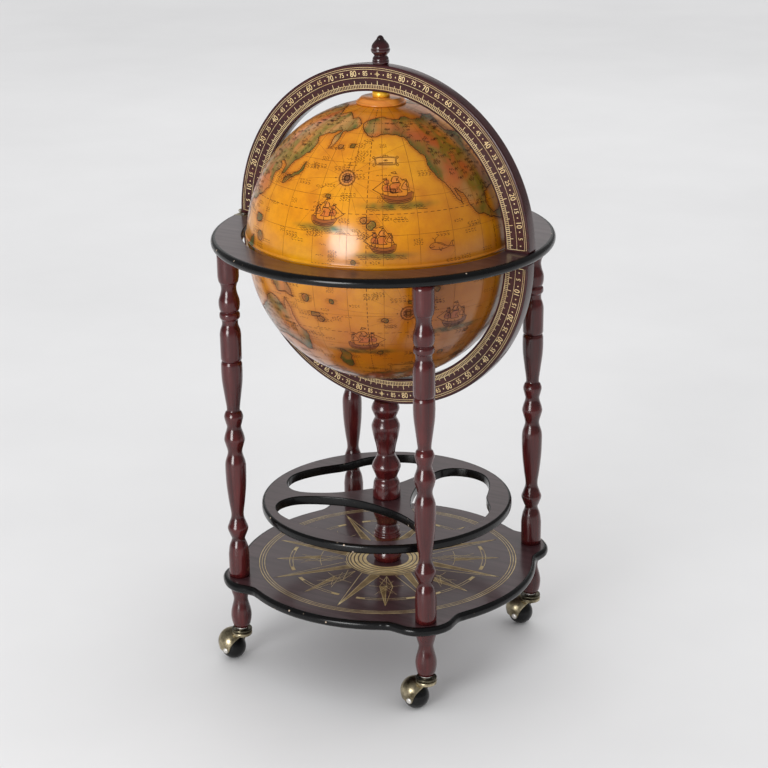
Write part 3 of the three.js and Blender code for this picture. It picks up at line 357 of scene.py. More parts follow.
class Look:
    """A material with a Principled shader and short calls for its nodes."""

    def __init__(self, name, **shader):
        self.material = bpy.data.materials.new(name)
        self.material.use_nodes = True
        self.tree = self.material.node_tree
        self.shader = self.tree.nodes["Principled BSDF"]
        for socket, value in shader.items():
            self.shader.inputs[socket.replace("_", " ")].default_value = value
        self.place = self.node("TexCoord").outputs["Object"]

    def node(self, kind, settings=None, **inputs):
        """A new node with its settings and inputs."""
        made = self.tree.nodes.new("ShaderNode" + kind)
        for key, value in (settings or {}).items():
            setattr(made, key, value)
        for key, value in inputs.items():
            self.give(made.inputs[key.replace("_", " ")], value)
        return made

    def give(self, socket, value):
        """Links an output to a socket, or writes a plain value into it."""
        if isinstance(value, bpy.types.NodeSocket):
            self.tree.links.new(value, socket)
        else:
            socket.default_value = value

    def stretched(self, x, y, z):
        """Object coordinates multiplied by x, y and z per metre."""
        return self.node("Mapping", Vector=self.place, Scale=(x, y, z)).outputs["Vector"]

    def noise(self, where, scale=1.0, detail=4.0, rough=0.55):
        """Cloudy noise from 0 to 1, mostly near a half."""
        made = self.node("TexNoise", Vector=where, Scale=scale, Detail=detail, Roughness=rough)
        return made.outputs["Fac"]

    def ramp(self, value, low, high, from_value=0.0, to_value=1.0):
        """Straight change from `from_value` at low to `to_value` at high, held outside."""
        made = self.node("MapRange", Value=value)
        ends = (("From Min", low), ("From Max", high), ("To Min", from_value), ("To Max", to_value))
        for key, number in ends:
            made.inputs[key].default_value = number
        return made.outputs["Result"]

    def blend(self, amount, first, second):
        """Mix of two colours by an amount from 0 to 1."""
        made = self.node("Mix", {"data_type": "RGBA"})
        for socket, value in ((made.inputs[0], amount), (made.inputs[6], first), (made.inputs[7], second)):
            if isinstance(value, tuple) and len(value) == 3:
                value = value + (1.0,)
            self.give(socket, value)
        return made.outputs[2]

    def times(self, first, second):
        """Product of two values."""
        made = self.node("Math", {"operation": "MULTIPLY"})
        self.give(made.inputs[0], first)
        self.give(made.inputs[1], second)
        return made.outputs[0]

    def paint(self, base, rough, bump=None, depth=0.0, strength=0.0):
        """Gives the shader its colour and roughness, and a bump that is `depth` metres high."""
        self.give(self.shader.inputs["Base Color"], base)
        self.give(self.shader.inputs["Roughness"], rough)
        if bump is not None:
            made = self.node("Bump", Height=bump, Strength=strength, Distance=depth)
            self.give(self.shader.inputs["Normal"], made.outputs["Normal"])
        return self.material


print("mid grey in linear light:", round(float(colour(128, 128, 128)[0]), 3))

# %% [markdown]
# ## Stained wood
#
# The wood is close-grained, stained dark red and lacquered. A picture of wood would have to be unwrapped
# onto every piece. Noise stretched along the grain runs through the piece like real grain, so it is cut
# rightly at every edge. The colour is darker in the grooves: the value `hollow`, which `turned` keeps on
# the points, sets how much.

# %% Lacquered wood


def lacquered_wood(name, dark, light, grain, coat, rough, groove=False):
    """Streaks of two stains along the grain, a slow cloud of the darker one over them, and the colour
    turned towards a third of the darker one's light in the grooves. The roughness follows the streaks."""
    look = Look(name, Coat_Weight=coat, Coat_Roughness=0.14, Specular_IOR_Level=0.3)
    streak = look.noise(look.stretched(*grain), 1.0, 6.0, 0.6)
    slow = look.noise(look.place, 14.0, 2.0)
    base = look.blend(look.ramp(streak, 0.3, 0.7), dark, light)
    base = look.blend(look.ramp(slow, 0.35, 0.7, 0.0, 0.35), base, dark)
    if groove:
        # Darker in the grooves, by the value `hollow`.
        groove_darkening = look.node("Attribute", {"attribute_name": "hollow"}).outputs["Fac"]
        base = look.blend(look.times(groove_darkening, 0.75), base, tuple(0.35 * c for c in dark))
    return look.paint(base, look.ramp(streak, 0.2, 0.8, rough + 0.05, rough - 0.04), streak, 0.00006, 0.35)


LONG_Z = (95.0, 95.0, 6.0)
LONG_X = (7.0, 110.0, 110.0)
leg_wood = lacquered_wood("leg_wood", colour(50, 10, 12), colour(92, 27, 27), LONG_Z, 0.6, 0.24, True)
cap_wood = lacquered_wood("cap_wood", colour(186, 102, 32), colour(228, 150, 62), LONG_X, 0.4, 0.3)
finial_wood = lacquered_wood("finial_wood", colour(34, 8, 12), colour(60, 18, 22), LONG_Z, 0.7, 0.2, True)
top_wood = lacquered_wood("top_wood", colour(48, 28, 31), colour(72, 50, 53), LONG_X, 0.55, 0.34)
face_wood = lacquered_wood("face_wood", colour(46, 12, 14), colour(68, 24, 25), LONG_X, 0.08, 0.36)
arch_wood = lacquered_wood("arch_wood", colour(42, 12, 15), colour(64, 28, 29), LONG_X, 0.5, 0.24)
deck_wood = lacquered_wood("deck_wood", colour(92, 42, 24), colour(140, 76, 46), LONG_X, 0.3, 0.34)
print("woods:", [look.name for look in bpy.data.materials if look.name.endswith("_wood")])

# %% [markdown]
# ## Black edges
#
# The boards' edges are glossy black, with small pale spots here and there. Spots could be painted by
# hand. Here one shows where the middle of a cell of a Voronoi pattern falls in a patch of slow noise, so
# that spots are round and small and come in groups.

# %% Black lacquer with pale spots


def black_edge(name):
    """Two near blacks, and a pale colour where both the cell and the noise allow it. The bump is turned
    inwards there, so that a spot lies a fifth of a millimetre deep."""
    look = Look(name, Coat_Weight=0.22, Coat_Roughness=0.1, Specular_IOR_Level=0.2)
    cells = look.node("TexVoronoi", Vector=look.place, Scale=90.0)
    near = look.ramp(cells.outputs["Distance"], 0.10, 0.16, 1.0, 0.0)
    some = look.ramp(look.noise(look.place, 26.0, 2.0), 0.56, 0.60)
    pale_spot = look.times(near, some)
    smear = look.noise(look.place, 40.0, 3.0)
    base = look.blend(look.ramp(smear, 0.3, 0.8), colour(4, 4, 5), colour(9, 9, 10))
    base = look.blend(pale_spot, base, colour(190, 170, 150))
    return look.paint(base, look.ramp(smear, 0.2, 0.8, 0.2, 0.34), pale_spot, 0.0002, -0.6)


edge_black = black_edge("edge_black")
print("edge:", edge_black.name)

# %% [markdown]
# ## Gold print, brass and steel
#
# Star and scales are printed in gold ink, a paint with metal flakes and so only partly metallic, which
# wears thin in patches. The casters are antique brass, bright where it is rubbed and darker and rougher in
# between. The collar's dish is the same brass painted darker: painted shade in its hollow and a painted
# dark reflection. A picture of patina would repeat; two layers of noise never do.

# %% Gold print and metals


def gold_print(name, bright, dull):
    """Bright gold that goes dull in patches of noise."""
    look = Look(name, Metallic=0.25)
    patch = look.noise(look.place, 55.0, 5.0, 0.65)
    base = look.blend(look.ramp(patch, 0.35, 0.68), bright, dull)
    return look.paint(base, look.ramp(patch, 0.2, 0.8, 0.38, 0.55), patch, 0.00002, 0.2)


def metal(name, bright, dark, rough, scale=45.0, metallic=1.0, coat=0.0):
    """Metal whose patina follows two noises, one nine times finer, and is darker where it is rougher."""
    look = Look(name, Metallic=metallic, Coat_Weight=coat)
    patch = look.noise(look.place, scale, 6.0, 0.65)
    fine = look.noise(look.place, scale * 9, 3.0)
    base = look.blend(look.ramp(patch, 0.38, 0.66), bright, dark)
    base = look.blend(look.ramp(fine, 0.5, 0.75, 0.0, 0.3), base, dark)
    return look.paint(base, look.ramp(patch, 0.3, 0.7, rough, rough + 0.16), fine, 0.00004, 0.3)


gold_bright = gold_print("gold_bright", colour(246, 224, 172), colour(212, 180, 122))
gold_dull = gold_print("gold_dull", colour(226, 204, 152), colour(170, 144, 96))
gold_worn = gold_print("gold_worn", colour(146, 122, 78), colour(92, 72, 48))
brass_antique = metal("brass_antique", colour(205, 192, 160), colour(74, 66, 50), 0.25)
# The collar's dish: the same brass painted darker, as painted shade in its hollow and a painted dark
# reflection.
brass_shaded = metal("brass_shaded", colour(112, 106, 88), colour(34, 32, 28), 0.22)
brass_yellow = metal("brass_yellow", colour(255, 206, 60), colour(232, 168, 34), 0.24, 60.0, 0.35, 0.5)
steel_plain = metal("steel_plain", colour(214, 212, 206), colour(150, 146, 138), 0.26, 80.0)
washer_bright = metal("washer_bright", colour(238, 235, 230), colour(196, 192, 184), 0.3, 80.0, 0.6)
print("brasses:", [look.name for look in bpy.data.materials if look.name.startswith("brass")])

# %% [markdown]
# ## Plastic, varnished map and ink
#
# The caster balls are moulded plastic, the well and the linings painted card. The globe is paper under a
# yellowed varnish. An image texture is the usual way; here the map is painted further down and kept on
# the shell's points as `wash`. The material adds mottle, brown foxing and a clear coat, which carries the
# lamp's soft highlight.

# %% Plastic, map paper and ink


def moulded(name, base_colour, speck_colour, rough, coat=0.0):
    """Plastic or paint with faint specks and an orange-peel bump."""
    look = Look(name, Coat_Weight=coat, Coat_Roughness=0.05, Specular_IOR_Level=0.3)
    fine = look.noise(look.place, 300.0, 3.0)
    slow = look.noise(look.place, 30.0, 3.0)
    base = look.blend(look.ramp(slow, 0.35, 0.7, 0.0, 0.6), base_colour, speck_colour)
    return look.paint(base, look.ramp(slow, 0.2, 0.8, rough, rough + 0.1), fine, 0.00003, 0.15)


def varnished_map(name):
    """The painted washes, a third of a brown mottle and foxing over them, and a satin coat."""
    look = Look(name, Coat_Weight=0.95, Coat_Roughness=0.19, Specular_IOR_Level=0.12)
    painted = look.node("Attribute", {"attribute_name": "wash"}).outputs["Color"]
    mottle = look.noise(look.place, 60.0, 6.0, 0.65)
    fox = look.noise(look.place, 17.0, 4.0)
    fibre = look.noise(look.stretched(900, 900, 2400), 1.0, 2.0)
    base = look.blend(look.ramp(mottle, 0.4, 0.75, 0.0, 0.32), painted, colour(146, 70, 6))
    base = look.blend(look.ramp(fox, 0.58, 0.75, 0.0, 0.3), base, colour(170, 80, 10))
    return look.paint(base, look.ramp(mottle, 0.2, 0.8, 0.36, 0.46), fibre, 0.00002, 0.15)


def printed_ink(name, dark, faded):
    """Printer's ink that fades in patches."""
    look = Look(name, Coat_Weight=0.1, Coat_Roughness=0.2, Specular_IOR_Level=0.1)
    patch = look.noise(look.place, 42.0, 4.0)
    base = look.blend(look.ramp(patch, 0.35, 0.7), dark, faded)
    return look.paint(base, look.ramp(patch, 0, 1, 0.4, 0.5))


ball_black = moulded("ball_black", colour(6, 6, 7), colour(14, 13, 13), 0.24, 0.1)
well_brown = moulded("well_brown", colour(62, 34, 24), colour(84, 50, 36), 0.4)
liner_brown = moulded("liner_brown", colour(120, 66, 34), colour(92, 48, 26), 0.5)
map_paper = varnished_map("map_paper")
ink_dark = printed_ink("ink_dark", colour(34, 18, 8), colour(78, 42, 14))
ink_faint = printed_ink("ink_faint", colour(96, 54, 14), colour(146, 84, 18))
print("looks so far:", len(bpy.data.materials))

# %% [markdown]
# ## Turned legs, feet, columns and finial
#
# A leg is turned on a lathe: vases, rings and coves, with a crisp step where the chisel started afresh.
# It comes in two lengths with a foot below. A Screw modifier would spin a drawn profile. Here the profile
# is written as stretches: each row of (share of the length, share of the radius) is one smooth curve, and
# where two rows meet there is an edge. Shares let one list serve any length.

# %% Profiles of the turned pieces
LEG_LOWER = [
    [(0, .985), (.105, .99)],
    [(.105, .99), (.143, .87), (.176, .63), (.197, .78), (.227, .985), (.253, .81), (.29, .595),
     (.355, .77), (.43, .935), (.506, .99), (.54, .94), (.583, .69), (.622, .885), (.642, .98),
     (.662, .9), (.697, .68), (.722, .79), (.747, .9), (.766, .78), (.782, .62), (.846, .79), (.906, .955),
     (.95, 1), (.988, .99)],
    [(.988, .99), (1, .9)],
]
LEG_UPPER = [
    [(0, .9), (.02, .985)],
    [(.02, .985), (.25, 1)],
    [(.25, 1), (.29, .93), (.335, .77), (.36, .745)],
    [(.36, .745), (.385, .78)],
    [(.387, .80), (.405, .93), (.425, .955), (.445, .93), (.458, .82)],
    [(.458, .80), (.463, .80)],
    [(.463, .81), (.485, .92), (.527, .985), (.57, .96), (.62, .8), (.675, .705), (.72, .8), (.74, .91),
     (.785, .995)],
    [(.785, .995), (1, 1.0)],
]
FOOT = [
    [(0, .7), (.09, .88), (.26, .99), (.415, .92), (.645, .685), (.81, .84), (.94, .985), (1, .99)],
]
COLUMN_UPPER = [
    [(0, .965), (.09, .955)],
    [(.09, .955), (.155, .885), (.2, .745), (.24, .80), (.29, .95), (.323, 1.0), (.36, .92), (.42, .70),
     (.46, .62), (.54, .70), (.63, .86), (.70, .955)],
    [(.70, .955), (.745, .98), (.79, .87), (.835, .745), (.87, .84), (.92, .965), (.96, .90), (.99, .80),
     (1, .76)],
]
COLUMN_LOWER = [
    [(0, .88), (.09, .99), (.18, .9), (.28, .70), (.37, .82), (.46, .955), (.515, .87)],
    [(.515, .87), (.56, .86), (.61, .79), (.685, .715), (.77, .82), (.86, .96)],
    [(.86, .96), (1, .965)],
]
FINIAL = [
    [(0, .80), (.03, .86), (.09, .87), (.12, .84)],
    [(.12, .80), (.14, .80)],
    [(.14, .84), (.19, .82), (.23, .76), (.28, .65)],
    [(.28, .65), (.33, .74), (.40, .92), (.455, .99)],
    [(.455, .99), (.485, 1), (.515, .985)],
    [(.515, .985), (.53, .92)],
    [(.53, .92), (.59, .925), (.67, .85), (.77, .64), (.865, .395)],
    [(.865, .385), (.90, .36), (.95, .27), (.985, .14), (1, 0)],
]
print("stretches in a leg:", len(LEG_LOWER) + len(LEG_UPPER), "and in the finial:", len(FINIAL))

# %% Turn a piece
TURNED_SIDES = 56
GROOVE_REACH = 16.0


def turned(name, stretches, bottom, length, radius, centre, body, look, replaces):
    """A turned piece from its stretches. Its value `hollow` compares each point's radius with the widest
    one within GROOVE_REACH of its height: the difference over half the radius, to the power 1.5."""
    line = np.zeros((0, 2))
    for stretch in stretches:
        curve = smooth_line(np.array(stretch)[:, ::-1] * (radius, length) + (0, bottom), 5)
        meets = len(line) and np.array_equal(curve[0], line[-1])
        line = np.vstack([line, curve[1:] if meets else curve])
    if line[0, 0] > 0:
        line = np.vstack([(0, line[0, 1]), line])
    if line[-1, 0] > 1e-6:
        line = np.vstack([line, (0, line[-1, 1])])
    around = np.abs(line[:, None, 1] - line[None, :, 1]) < GROOVE_REACH
    widest = np.where(around, line[None, :, 0], 0).max(1)
    hollow = np.clip((widest - line[:, 0]) / (0.5 * radius), 0, 1) ** 1.5
    points, faces, _ = lathe(line, TURNED_SIDES, centre)
    in_row = np.where(line[:, 0] < 1e-6, 1, TURNED_SIDES)
    return make(name, points, faces, body, [look], replaces=replaces,
                values={"hollow": np.repeat(hollow, in_row)})


# %% Legs and feet
LEG_RADIUS = 15.8

for corner in CORNERS:
    low, high = span("caster_collar_" + corner)
    axis = tuple((low + high)[:2] / 2)
    joint = span("leg_upper_" + corner)[0][2]
    for part, profile, bottom, top in (
            ("foot_", FOOT, span("foot_" + corner)[0][2], bottom_shelf_low[2] - GAP),
            ("leg_lower_", LEG_LOWER, bottom_shelf_high[2] + GAP, joint - GAP),
            ("leg_upper_", LEG_UPPER, joint, ring_low[2] - GAP)):
        turned("turned_" + part + corner, profile, bottom, top - bottom, LEG_RADIUS, axis, "base",
               leg_wood, [part + corner])

# %% [markdown]
# The column is thicker than the legs and comes in two pieces, one between the shelves and one from there
# up to the globe. The finial stands on the lid's ring and swings with it, so it rides on the body `lid`.

# %% Columns and finial
COLUMN_RADIUS = 22.0
FINIAL_RADIUS = 14.0
RING_SEAT = 7.7

column_bottom = bottom_shelf_high[2] + GAP
turned("turned_column_lower", COLUMN_LOWER, column_bottom, bottle_shelf_low[2] - GAP - column_bottom,
       COLUMN_RADIUS, (0, 0), "base", leg_wood, ["column_lower"])
column_bottom = bottle_shelf_high[2] + GAP
column_length = span("column_upper")[1][2] - column_bottom - RING_SEAT
turned("turned_column_upper", COLUMN_UPPER, column_bottom, column_length,
       COLUMN_RADIUS, (0, 0), "base", leg_wood, ["column_upper"])
finial_bottom = LID_BOTTOM + UPPER_MERIDIAN + GAP
turned("turned_finial", FINIAL, finial_bottom, span("finial")[1][2] - finial_bottom, FINIAL_RADIUS, (0, 0),
       "lid", finial_wood, ["finial"])

# %% [markdown]
# ## Shelves and horizon ring
#
# The bottom shelf is four arcs with an ear at each leg. An eighth of its outline is enough: it is
# mirrored at the diagonal and turned four times, where a Mirror and an Array modifier would do the same.
# The round bottle shelf has three scrolled openings, one drawing turned three times. The horizon ring is
# a board with one great hole and a nearly half round outer edge.

# %% The bottom shelf
SHELF_EIGHTH = [
    (201.8, 107.2), (200.5, 110.5), (196.9, 118.5), (196.2, 127), (197.2, 138), (197.6, 149), (194.8, 161),
    (189.3, 171.5), (181.2, 181.2),
]
SHELF_RADIUS = bottom_shelf_high[0]


def rotated(points, angle):
    """Points turned counter-clockwise about the origin: (x cos - y sin, x sin + y cos)."""
    c, s = math.cos(angle), math.sin(angle)
    return np.asarray(points) @ np.array([[c, s], [-s, c]])


def bottom_outline():
    """A quarter runs from the middle of one arc over an ear to the middle of the next arc."""
    a = np.radians(np.arange(0, 28, 2))
    arc = SHELF_RADIUS * np.stack([np.cos(a), np.sin(a)], 1)
    ear = smooth_line(np.vstack([arc[-1:], SHELF_EIGHTH]), 5)[1:]
    half = np.vstack([arc, ear])
    quarter = np.vstack([half, half[::-1, ::-1][1:-1]])
    return np.vstack([rotated(quarter, k * math.pi / 2) for k in range(4)])


points, faces, kind = board(bottom_outline(), [], bottom_shelf_low[2], bottom_shelf_high[2], 6.2, 0)
make("shelf_bottom_board", points, faces, "base", [top_wood, edge_black], kind, (0,),
     ["bottom_shelf"])

# %% The bottle shelf
OPENING_SHARES = [
    (.314, .817), (.44, .786), (.534, .707), (.613, .587), (.665, .471), (.702, .377), (.754, .299),
    (.828, .204), (.87, .105), (.89, 0), (.90, -.094), (.885, -.2), (.838, -.288), (.754, -.346),
    (.629, -.351), (.482, -.272), (.314, -.126), (.21, .026), (.141, .189), (.094, .356), (.079, .482),
    (.084, .618), (.115, .723), (.189, .791),
]
bottle_radius = bottle_shelf_high[0]
opening = smooth_loop(np.array(OPENING_SHARES) * bottle_radius, 5)
area = np.sum(opening[:, 0] * np.roll(opening[:, 1], -1) - np.roll(opening[:, 0], -1) * opening[:, 1])
opening = opening if area < 0 else opening[::-1]
openings = [rotated(opening, k * 2 * math.pi / 3) for k in range(3)]
points, faces, kind = board(circle(bottle_radius, 180), openings, bottle_shelf_low[2], bottle_shelf_high[2],
                            4.5, 1.6)
make("shelf_bottle_board", points, faces, "base", [top_wood, edge_black], kind, (0,),
     ["bottle_shelf"])
print(f"an opening covers {abs(area) / 2 / 100:.0f} square centimetres")

# %% The horizon ring, with recesses for the hinge
RING_INNER = 207.0
PLAY = 0.3

points, faces, kind = board(circle(ring_high[0], 240), [circle(RING_INNER, 240)[::-1]], ring_low[2],
                            ring_high[2], 6.8, 1.2)
ring = make("horizon_board", points, faces, "base", [top_wood, edge_black], kind, (0,),
            ["horizon_ring"])
recess = []
for leaf in ("hinge_leaf_ring", "hinge_screw_front", "hinge_screw_back"):
    low, high = span(leaf)
    recess.append((low - PLAY, high + (PLAY, PLAY, 5)))
carve(ring, recess)

# %% [markdown]
# ## Meridian rings
#
# A half ring stands over the lid and another hangs under the horizon ring, sawn from board and printed
# on their flat sides. A torus would be round in section. Here a section, a rectangle with rounded corners
# in (radius, depth), is carried along a half circle, again as a grid of rows. The lower ring also runs
# straight up a little at both ends to meet the horizon ring.

# %% Carry a section along a half circle
MERIDIAN_WIDTH = 39.0
MERIDIAN_HALF = 10.0
MERIDIAN_ROUND = 1.8
PRINTED_SIDES = (9, 19)


def half_ring(outer, centre, start, end, extension):
    """At angle a the section's point (r, y) is (r cos a, y, centre + r sin a). Faces are of kind 0 on the
    two printed sides, 1 on the rest of the skin and 2 at the ends."""
    inner, straight = outer - MERIDIAN_WIDTH, MERIDIAN_HALF - MERIDIAN_ROUND
    corners = ((outer - MERIDIAN_ROUND, -straight), (outer - MERIDIAN_ROUND, straight),
               (inner + MERIDIAN_ROUND, straight), (inner + MERIDIAN_ROUND, -straight))
    section = []
    for k, middle in enumerate(corners):
        turn = np.radians(90 * k + np.arange(-90, 1, 22.5))
        section.append(middle + MERIDIAN_ROUND * np.stack([np.cos(turn), np.sin(turn)], 1))
    r, y = np.vstack(section).T
    a = np.linspace(start, end, 181)[:, None]
    grid = np.stack([r * np.cos(a), y + 0 * a, centre + r * np.sin(a)], -1)
    if extension:
        grid = np.concatenate([grid[:1] + (0, 0, extension), grid, grid[-1:] + (0, 0, extension)])
    points, faces, _ = sheet(grid)
    kind = np.tile(np.where(np.isin(np.arange(len(r)), PRINTED_SIDES), 0, 1), len(grid) - 1)
    ends = np.arange(len(points)).reshape(grid.shape[:2])[[0, -1]]
    faces += [ends[0, ::-1].tolist(), ends[1].tolist()]
    return points, facing_out(points, faces), np.append(kind, (2, 2))


points, faces, kind = half_ring(UPPER_MERIDIAN, LID_BOTTOM, 0, math.pi, 0)
upper_ring = make("meridian_arch_upper", points, faces, "lid",
                  [face_wood, arch_wood, arch_wood], kind, (0, 2), ["meridian_upper"])
low, high = span("hinge_leaf_lid")
carve(upper_ring, [(low - (9, PLAY, 9), high + (PLAY, PLAY, PLAY))])
points, faces, kind = half_ring(LOWER_MERIDIAN, LOWER_CENTRE, -math.pi, 0, ring_low[2] - GAP - LOWER_CENTRE)
make("meridian_arch_lower", points, faces, "base",
     [face_wood, arch_wood, arch_wood], kind, (0, 2), ["meridian_lower"])

# %% [markdown]
# ## Gold print
#
# The bottom shelf carries a many-pointed star, and both meridian rings carry a scale, printed in gold. A
# picture laid on the boards would blur close up. Here each line is a ribbon of faces a few hundredths of
# a millimetre over its board, so it stays crisp. Drawings are made flat and put in place as a whole.

# %% Ribbons, and a sheet that collects a drawing
PRINT_LIFT = 0.06


def ribbon(points, width, closed=False):
    """Flat ribbon along a line. Each point gives two, half the width to either side of it, square to the
    direction from the point before to the point after."""
    p = np.asarray(points, float)
    along = unit(np.roll(p, -1, 0) - np.roll(p, 1, 0)) if closed else unit(np.gradient(p, axis=0))
    side = np.stack([-along[:, 1], along[:, 0]], 1) * width / 2
    i = np.arange(len(p) if closed else len(p) - 1)
    j = (i + 1) % len(p)
    return np.vstack([p - side, p + side]), np.stack([i, j, len(p) + j, len(p) + i], 1).tolist()


def polar(radius, degrees):
    """Flat point at a radius and an angle: (radius cos a, radius sin a)."""
    a = math.radians(degrees)
    return np.array([radius * math.cos(a), radius * math.sin(a)])


class Print:
    """Collects flat shapes and makes them one piece."""

    def __init__(self):
        self.points, self.faces, self.count = [], [], 0

    def add(self, points, faces):
        """Takes points and faces as they are."""
        self.points.append(np.asarray(points, float))
        self.faces += [[i + self.count for i in face] for face in faces]
        self.count += len(points)

    def line(self, points, width, closed=False):
        """Draws a line as a ribbon."""
        self.add(*ribbon(points, width, closed))

    def ring(self, radius, width, start=0.0, end=360.0, step=2.0):
        """Draws a ring round the origin, or a part of one, with a point every few degrees."""
        whole = end - start >= 360
        count = max(3, int((end - start) / step) + 1)
        angles = np.radians(np.arange(start, end, step) if whole else np.linspace(start, end, count))
        self.line(np.stack([radius * np.cos(angles), radius * np.sin(angles)], 1), width, whole)

    def fill(self, corners):
        """Fills a shape as a fan from its first corner."""
        self.add(corners, [(0, i, i + 1) for i in range(1, len(corners) - 1)])

    def make(self, name, body, slot, look, to_space):
        """Makes the piece; `to_space` puts its flat points in the room."""
        return make(name, to_space(np.vstack(self.points)), self.faces, body, [look], flat=(0,))


print("a closed ribbon through 12 points:", len(ribbon(circle(10, 12), 1, True)[1]), "faces")

# %% [markdown]
# The star has eight long rays, each with one half filled, and eight shorter ones between them. Outlines
# and fillings are two drawings; the fillings are duller and lie half as high, under the outlines.

# %% The star on the bottom shelf
ROSE_TURN = 7.5
ROSE_RINGS = ((190, .9), (194, .9), (198, 1.1), (35.5, 5.0), (42, 4.6), (48.5, 4.4), (54.5, 3.6), (59.5, 2.6),
              (63.5, 1.2))
LONG_TIP, LONG_ROOT = 184, 66
SHORT_TIP, SHORT_WAIST, SHORT_ROOT = 172, 104, 68

rose, rays = Print(), Print()
for radius, width in ROSE_RINGS:
    rose.ring(radius, width)
for k in range(8):
    main = ROSE_TURN + 45 * k
    waist = 13.0 if k % 2 == 0 else 11.0
    tip, root = polar(LONG_TIP, main), polar(LONG_ROOT, main)
    left, right = polar(LONG_ROOT, main + waist), polar(LONG_ROOT, main - waist)
    rays.fill([tip, left, root])
    for a, b in ((tip, left), (left, root), (right, root), (tip, right), (tip, root)):
        rose.line([a, b], 0.9)
    between = main + 22.5
    tip, root = polar(SHORT_TIP, between), polar(SHORT_ROOT, between)
    left, right = polar(SHORT_WAIST, between + 5.5), polar(SHORT_WAIST, between - 5.5)
    rays.fill([tip, right, polar(SHORT_WAIST, between)])
    for a, b in ((tip, left), (tip, right), (left, root), (right, root), (left, polar(74, main + 14))):
        rose.line([a, b], 0.7)
    rose.line([tip, root], 0.6)
    for corner, turn in ((right, 4.5), (left, -4.5)):
        rose.line([corner, polar(128, between + turn)], 0.6)
    for turn in (-7, 7):
        rose.line([polar(134, between + turn), polar(86, between - turn)], 0.5)
    start, end = main + 5.4, main + 39.6
    for radius in (146.5, 151.5):
        rose.ring(radius, 0.8, start, end)
    for middle in (start + 2.6, end - 2.6):
        rose.ring(149, 5.2, middle - 2.6, middle + 2.6)
    rose.ring(SHORT_WAIST, 0.7, main + 8, main + 37)


def on_shelf(lift):
    """Lays a drawing on the bottom shelf, a little over its face."""
    return lambda p: np.column_stack([p, np.full(len(p), bottom_shelf_high[2] + lift)])


rays.make("rose_rays", "base", "bottom_shelf", gold_worn, on_shelf(PRINT_LIFT))
rose.make("rose_print", "base", "bottom_shelf", gold_dull, on_shelf(PRINT_LIFT * 2))

# %% [markdown]
# The scale of a meridian ring counts degrees from each end up to 90 in the middle: a ladder of small bars,
# ticks of three lengths, numbers every five degrees and a diamond between them. The numbers come from
# Blender's own Text object, turned into a mesh, because drawing figures by hand gains nothing.

# %% Numbers as flat shapes


def digits(text, height, centre, turn, side=1):
    """Plain numbers from the built-in face, set upright at an angle. Side -1 mirrors them, for a drawing
    that is turned over later."""
    made = bpy.data.curves.new("number", "FONT")
    made.body, made.size, made.align_x, made.align_y = text, height, "CENTER", "CENTER"
    holder = linked("number", made)
    mesh = bpy.data.meshes.new_from_object(holder.evaluated_get(bpy.context.evaluated_depsgraph_get()))
    flat = np.empty(3 * len(mesh.vertices), np.float32)
    mesh.vertices.foreach_get("co", flat)
    points = flat.reshape(-1, 3)[:, :2].astype(float) * (0.9 * side, 1.0)
    faces = [tuple(p.vertices) for p in mesh.polygons]
    bpy.data.objects.remove(holder)
    bpy.data.meshes.remove(mesh)
    return rotated(points, turn) + centre, faces


print("the number 90:", len(digits("90", 12, (0, 0), 0)[1]), "faces")

# %% Draw a scale


def scale_print(outer, sign):
    """The scale of a half ring, drawn on the upper half circle; sign -1 puts it on the lower one."""
    work = Print()
    inner, number_line = outer - MERIDIAN_WIDTH, outer - 13.6
    ladder_low, ladder_high, double_low, double_high = inner + 4.2, inner + 9.6, outer - 7.2, outer - 4.6
    first, last = 1.0, 179.0
    for radius, width in ((double_high, .5), (double_low, .5), (inner + 19.4, .5), (ladder_high, .55),
                          (ladder_low, .65)):
        work.ring(radius, width, first, last)
    for side in (first, last):
        work.line([polar(ladder_low, side), polar(double_low, side)], 0.8)
    for degree in np.arange(1.75, 178.5, 0.75):
        work.line([polar(ladder_low, degree), polar(ladder_high, degree)], 0.7)
    for degree in np.arange(2.5, 178, 2.5):
        reach = 6.2 if degree % 10 == 0 else 4.8 if degree % 5 == 0 else 3.0
        work.line([polar(ladder_high, degree), polar(ladder_high + reach, degree)], 0.8)
    for degree in range(5, 180, 5):
        if degree != 90:
            turn = math.radians(degree - 90) + (math.pi if sign < 0 else 0)
            size = 12.0 if degree % 10 == 0 else 9.5
            work.add(*digits(str(90 - abs(degree - 90)), size, polar(number_line, degree), turn, sign))
    for degree in np.arange(2.5, 180, 5):
        at = polar(number_line, degree)
        work.fill([at + polar(1.4, degree), at + polar(1.1, degree + 90),
                   at - polar(1.4, degree), at - polar(1.1, degree + 90)])
    at = polar(number_line, 90)
    for arm in range(8):
        reach, turn = (5.6 if arm % 2 == 0 else 3.2), 90 + arm * 45
        work.fill([at + polar(reach, turn), at + polar(1.1, turn + 45), at, at + polar(1.1, turn - 45)])
    return work


def on_meridian(centre, sign, face):
    """Puts a drawing of the upper half circle on the front (-1) or back (1) face. Seen from the back the
    drawing is mirrored in x, so that its numbers read right."""
    y = face * (MERIDIAN_HALF + PRINT_LIFT)
    return lambda p: np.column_stack([-face * p[:, 0], np.full(len(p), y), centre + sign * p[:, 1]])


for label, outer, centre, sign, body in (("upper", UPPER_MERIDIAN, LID_BOTTOM, 1, "lid"),
                                         ("lower", LOWER_MERIDIAN, LOWER_CENTRE, -1, "base")):
    work = scale_print(outer, sign)
    for side, face in (("front", -1), ("back", 1)):
        work.make(f"scale_{label}_{side}", body, f"meridian_{label}", gold_bright,
                  on_meridian(centre, sign, face))
